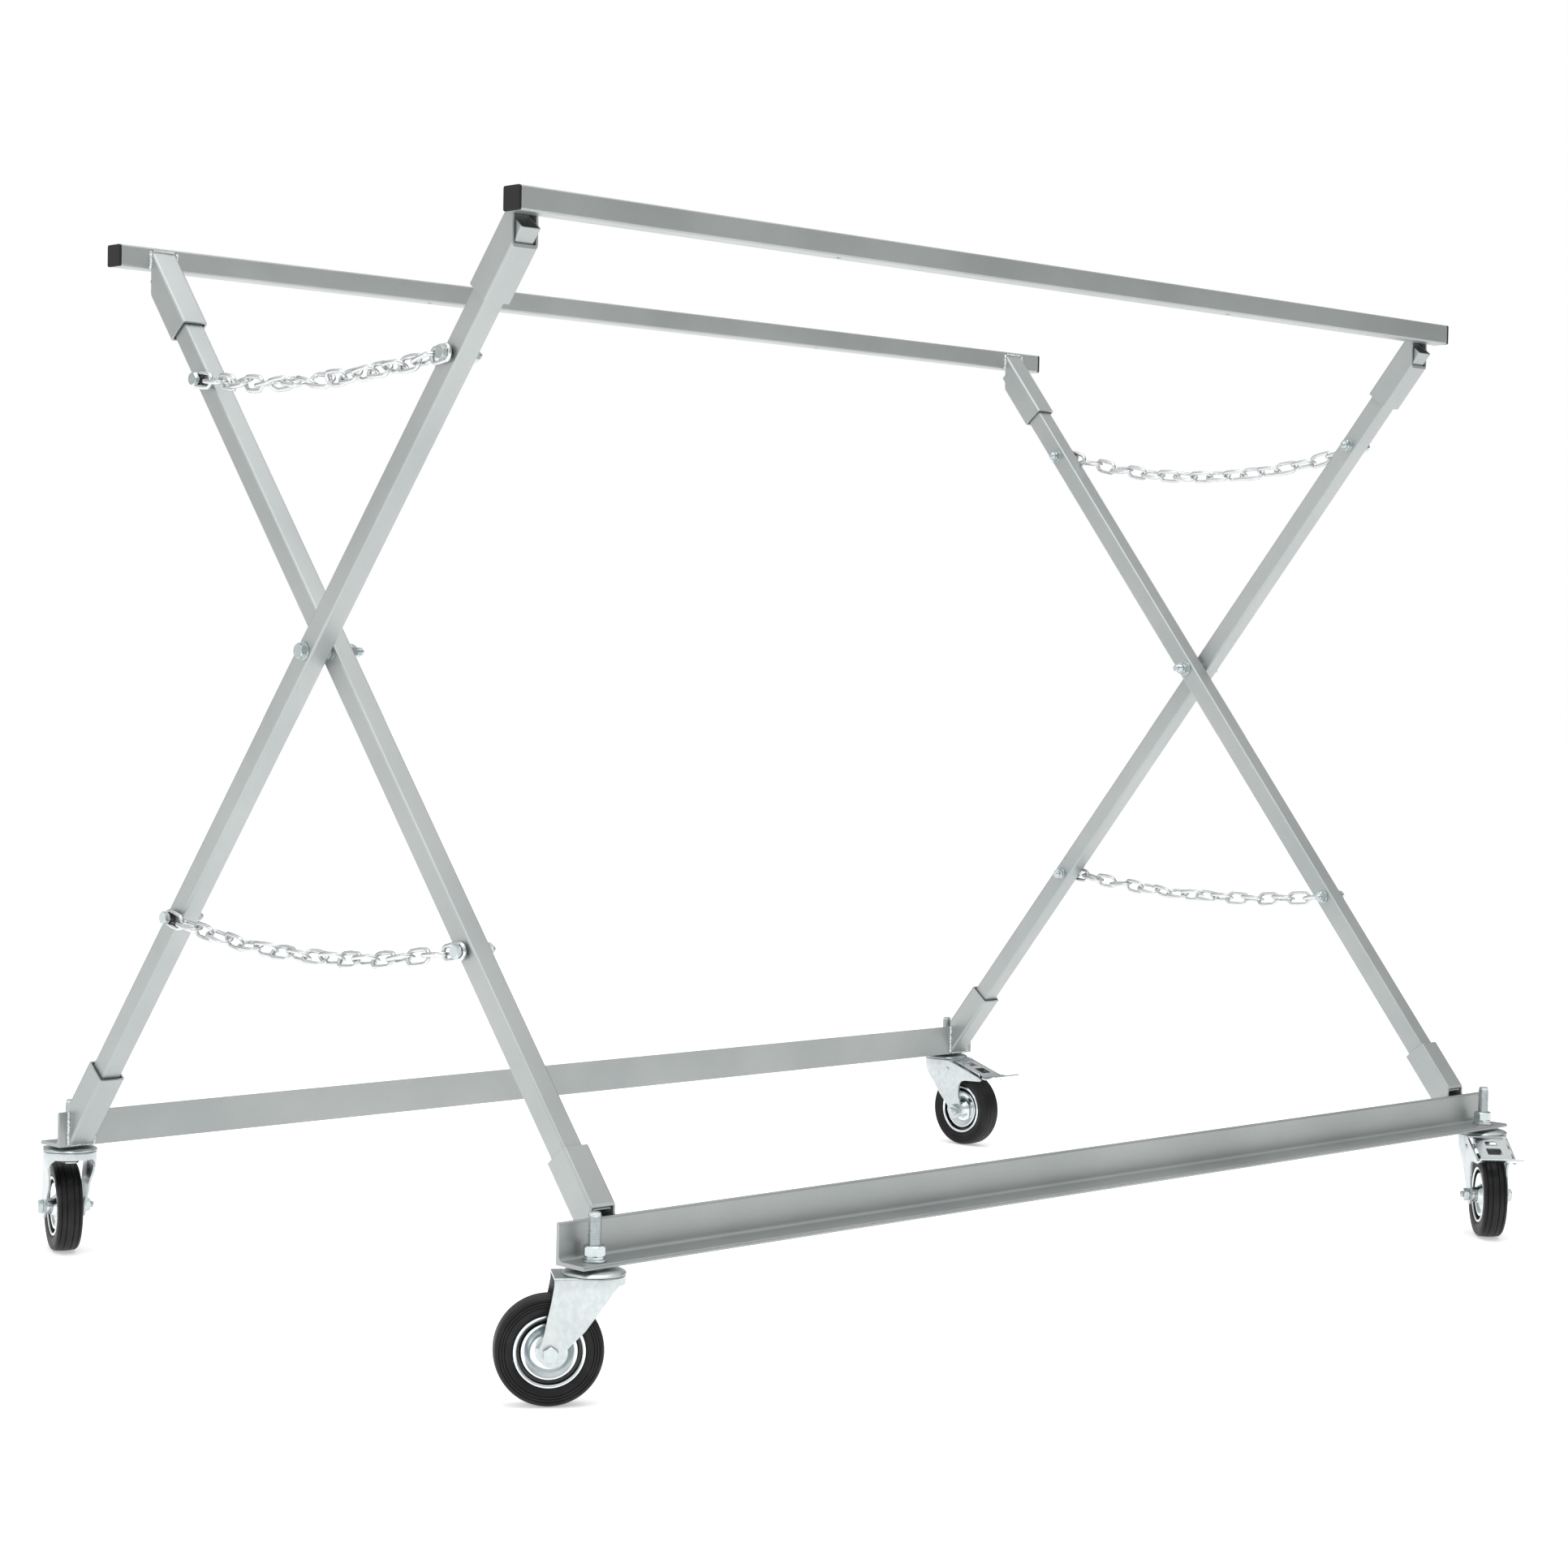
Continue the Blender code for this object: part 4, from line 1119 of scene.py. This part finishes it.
def makeTyre():
    # shoulders and three fine rings on each wall, four shallow grooves round the tread
    groove = {"wallRings": (13.0, 9.8, 6.6), "treadGrooves": (12.6, 5.2), "deep": 1.0, "wide": 0.9}
    rim = wheelRadius / mm
    half = [(43.3, 14.6), (45.0, 15.8), (48.5, 17.0), (50.4, 17.4)]
    for inwards in groove["wallRings"]:
        ring = rim - inwards
        half += [(ring, 17.8), (ring + groove["wide"] / 2, 17.0), (ring + groove["wide"], 17.8)]
    half += [(rim - 3.9, 17.6), (rim - 2.7, 16.9), (rim - 1.6, 15.6), (rim - 1.0, 14.2)]
    for place in groove["treadGrooves"]:
        crown = rim - 0.0042 * place * place
        half += [(crown, place + groove["wide"]), (crown - groove["deep"], place),
                 (crown, place - groove["wide"])]
    half += [(rim, 2.0), (rim, 0.01)]
    tyre = turnProfile(inMm(bothSides(half)), 96)
    smoothLook(tyre, 35, weighted=False)
    standAcross(tyre)
    return tyre


def makeHub():
    # bright rolled rim, a groove behind it painted dark as painted shade, then the dished web and the bearing
    # boss
    half = [(43.0, 11.0), (43.0, 15.4), (42.3, 16.3), (41.1, 16.5), (39.7, 16.1), (38.7, 15.2),
            (38.2, 9.0), (34.8, 8.6), (34.0, 12.4), (33.0, 13.4), (31.4, 13.5), (29.0, 12.7), (24.0, 10.2),
            (19.5, 9.2), (16.4, 10.2), (14.0, 13.6), (12.6, 16.4), (11.4, 17.6), (11.0, 25.6), (5.4, 25.8)]
    hub = turnProfile(inMm(bothSides(half)), 96)
    smoothLook(hub, 35, weighted=False)
    hub.data.materials.append(finishes["wheel"])
    hub.data.materials.append(finishes["dark"])
    # the faces down in the groove between rim and web get the dark steel: painted shade in the groove
    for face in hub.data.polygons:
        radius = math.hypot(face.center.x, face.center.y)
        if 34.2 * mm < radius < 38.6 * mm:
            face.material_index = 1
    standAcross(hub)
    return hub


def makePedal():
    # a pressed plate from the crown over the tyre, two windows, turned-down sides and a wide lip
    path = inMm([(38.5, 0, -10.6), (48, 0, -11.6), (60, 0, -15.2), (74, 0, -19.6), (88, 0, -24.0),
                 (104, 0, -28.9), (113, 0, -31.6), (119, 0, -33.2), (126, 0, -34.4), (134, 0, -33.4),
                 (141, 0, -30.8), (148.5, 0, -27.6)])
    narrow, wide = 23.5 * mm, 33 * mm
    plate = drawPath(path)
    pick(plate, "VERT", lambda vert: True)
    bpy.ops.mesh.extrude_region_move(TRANSFORM_OT_translate={"value": (0, 2 * narrow, 0)})
    pick(plate, "VERT", lambda vert: True)
    bpy.ops.transform.translate(value=(0, -narrow, 0))
    pick(plate, "VERT", lambda vert: vert.co.x > 117 * mm)
    bpy.ops.transform.resize(value=(1, wide / narrow, 1), center_override=(0, 0, 0))
    windows = ((56, 70, 8.5), (80, 101, 11))
    for first, last, half in windows:
        cuts = ((first, (1, 0, 0)), (last, (1, 0, 0)), (half, (0, 1, 0)), (-half, (0, 1, 0)))
        for place, direction in cuts:
            pick(plate, "FACE", lambda face: True)
            bpy.ops.mesh.bisect(plane_co=Vector(direction) * place * mm, plane_no=direction)
    for first, last, half in windows:
        pick(plate, "FACE", lambda face: first * mm < middleOf(face).x < last * mm
             and abs(middleOf(face).y) < half * mm)
        bpy.ops.mesh.delete(type="FACE")
    pick(plate, "EDGE", lambda edge: edge.is_boundary and abs(middleOf(edge).y) > narrow - 0.1 * mm
         and middleOf(edge).x < 108 * mm)
    bpy.ops.mesh.extrude_region_move(TRANSFORM_OT_translate={"value": (0, 0, -5.5 * mm)})
    bpy.ops.object.mode_set(mode="OBJECT")
    tidyNormals(plate)
    biggest = max(plate.data.polygons, key=lambda face: face.area)
    if biggest.normal.z < 0:
        pick(plate, "FACE", lambda face: True)
        bpy.ops.mesh.flip_normals()
        bpy.ops.object.mode_set(mode="OBJECT")
    applyModifier(plate, "SOLIDIFY", thickness=2.2 * mm, offset=-1)
    easeEdges(plate, 0.5 * mm, 2, 50)
    ears = []
    for side in (1, -1):
        ear = addBlock((13 * mm, 2 * mm, 17 * mm), (45 * mm, side * (narrow - 1.4 * mm), -20 * mm))
        easeEdges(ear, 3 * mm, 3, 60)
        ears.append(ear)
    pin = addDisc(3 * mm, 61 * mm, (0, 0, 0), 20)
    standAcross(pin)
    pin.location = (40.5 * mm, 0, -24.5 * mm)
    applyPlace(pin)
    pedal = joinPieces([plate, *ears, pin])
    smoothLook(pedal, 40)
    return pedal


def makeShoe():
    shoe = addBlock((12 * mm, 24 * mm, 9.5 * mm), (78.5 * mm, 0, -27.4 * mm))
    easeEdges(shoe, 1.6 * mm, 3, 60)
    smoothLook(shoe, 45)
    return shoe


def makeCasters():
    masters = {"Stem": (makeStem(), "zinc"), "Bearing": (makeBearing(), "dark"),
               "StudNut": (makeStudNut(), "bolt"), "Axle": (makeAxle(), "bolt"),
               "Tyre": (makeTyre(), "rubber"), "Hub": (makeHub(), "wheel"),
               "Pedal": (makePedal(), "wheel"), "Shoe": (makeShoe(), "dark"),
               "Fork": (makeFork(False), "zinc"), "BrakeFork": (makeFork(True), "zinc")}
    for corner in ("front_left", "front_right", "back_left", "back_right"):
        frameBody = "inner_frame" if corner.startswith("front") else "outer_frame"
        stem = Vector(jointOf[f"caster_{corner}_turn"]["pos_m"])
        hubPlace = Vector(jointOf[f"caster_{corner}_roll"]["pos_m"])
        turn = math.atan2(hubPlace.y - stem.y, hubPlace.x - stem.x)
        braked = f"caster_{corner}_brake" in jointOf
        forkBody, wheelBody = f"caster_{corner}_swivel", f"caster_{corner}_wheel"
        parts = [("Stem", stem, frameBody, "stem"), ("Bearing", stem, frameBody, None),
                 ("StudNut", stem, frameBody, "stem_nut"),
                 ("BrakeFork" if braked else "Fork", stem, forkBody, "fork"),
                 ("Axle", hubPlace, forkBody, "axle"), ("Hub", hubPlace, wheelBody, "hub"),
                 ("Tyre", hubPlace, wheelBody, "tyre")]
        if braked:
            pedalBody = f"caster_{corner}_pedal"
            parts += [("Pedal", stem, pedalBody, "brake_pedal"), ("Shoe", stem, pedalBody, None)]
        for part, place, body, node in parts:
            master, finish = masters[part]
            piece = copyTo(master, f"{corner}{part}", turn, place)
            nodesFor = [f"caster_{corner}_{node}"] if node else []
            hand(piece, f"{corner}{part}", finish, body, *nodesFor)
    discard(*[master for master, finish in masters.values()])


makeCasters()
print("casters ready")


# ---- weld beads: ripples laid one over the other along a line ----

bead = {"step": 2.1 * mm, "radius": 3.3 * mm, "wander": 0.35 * mm, "flat": 0.62, "proud": 0.9 * mm,
        "short": 2 * mm, "tipSize": 0.6, "tipReach": 0.8, "overTop": 0.2 * mm, "overFoot": 0.4 * mm}


def layBead(name, start, end, body, size=1.0):
    freshStart()
    line = end - start
    count = max(2, int(line.length / bead["step"]))
    ripples = []
    for number in range(count + 1):
        place = start.lerp(end, number / count)
        place += Vector([random.uniform(-1, 1) for axis in range(3)]) * bead["wander"]
        radius = bead["radius"] * size * random.uniform(0.88, 1.1)
        bpy.ops.mesh.primitive_ico_sphere_add(subdivisions=2, radius=radius)
        ripple = bpy.context.object
        ripple.scale = (1, 1, bead["flat"])
        ripple.rotation_euler = line.to_track_quat("Z", "Y").to_euler()
        ripple.location = place
        ripples.append(ripple)
    piece = joinPieces(ripples)
    applyPlace(piece)
    smoothLook(piece, 80, weighted=False)
    return hand(piece, name, "weld", body)


def makeWelds():
    random.seed(5)
    half = tube["socketSide"] / 2
    section = half / math.sin(lean)
    rows = {"front_top_rail": ("outer", "frontTop"), "back_bottom_angle": ("outer", "backBottom"),
            "back_top_rail": ("inner", "backTop"), "front_bottom_angle": ("inner", "frontBottom")}
    for node, (kind, name) in rows.items():
        low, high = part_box(node)
        side = -1 if node.startswith("front") else 1
        plane = high.y if side < 0 else low.y
        centre = pivot.z + abs(plane) / math.tan(lean) * (1 if "top" in node else -1)
        bottom = max(low.z, centre - section) + bead["short"]
        top = min(high.z, centre + section) - bead["short"]
        for end in ("left", "right"):
            x = pivot.x + signOf[end] * legX[kind]
            y = plane - side * bead["proud"]
            for edge in (-1, 1):
                place = x + edge * (half + bead["proud"])
                where = "in" if edge * signOf[end] < 0 else "out"
                layBead(f"{name}Bead_{end}_{where}", Vector((place, y, bottom)), Vector((place, y, top)),
                        f"{kind}_frame")
            if "top" in node:
                level = centre + section + bead["overTop"]
            else:
                level = centre - section + bead["overFoot"]
            reach = half * bead["tipReach"]
            layBead(f"{name}Bead_{end}_tip", Vector((x - reach, y, level)), Vector((x + reach, y, level)),
                    f"{kind}_frame", bead["tipSize"])


makeWelds()
print("welds ready")
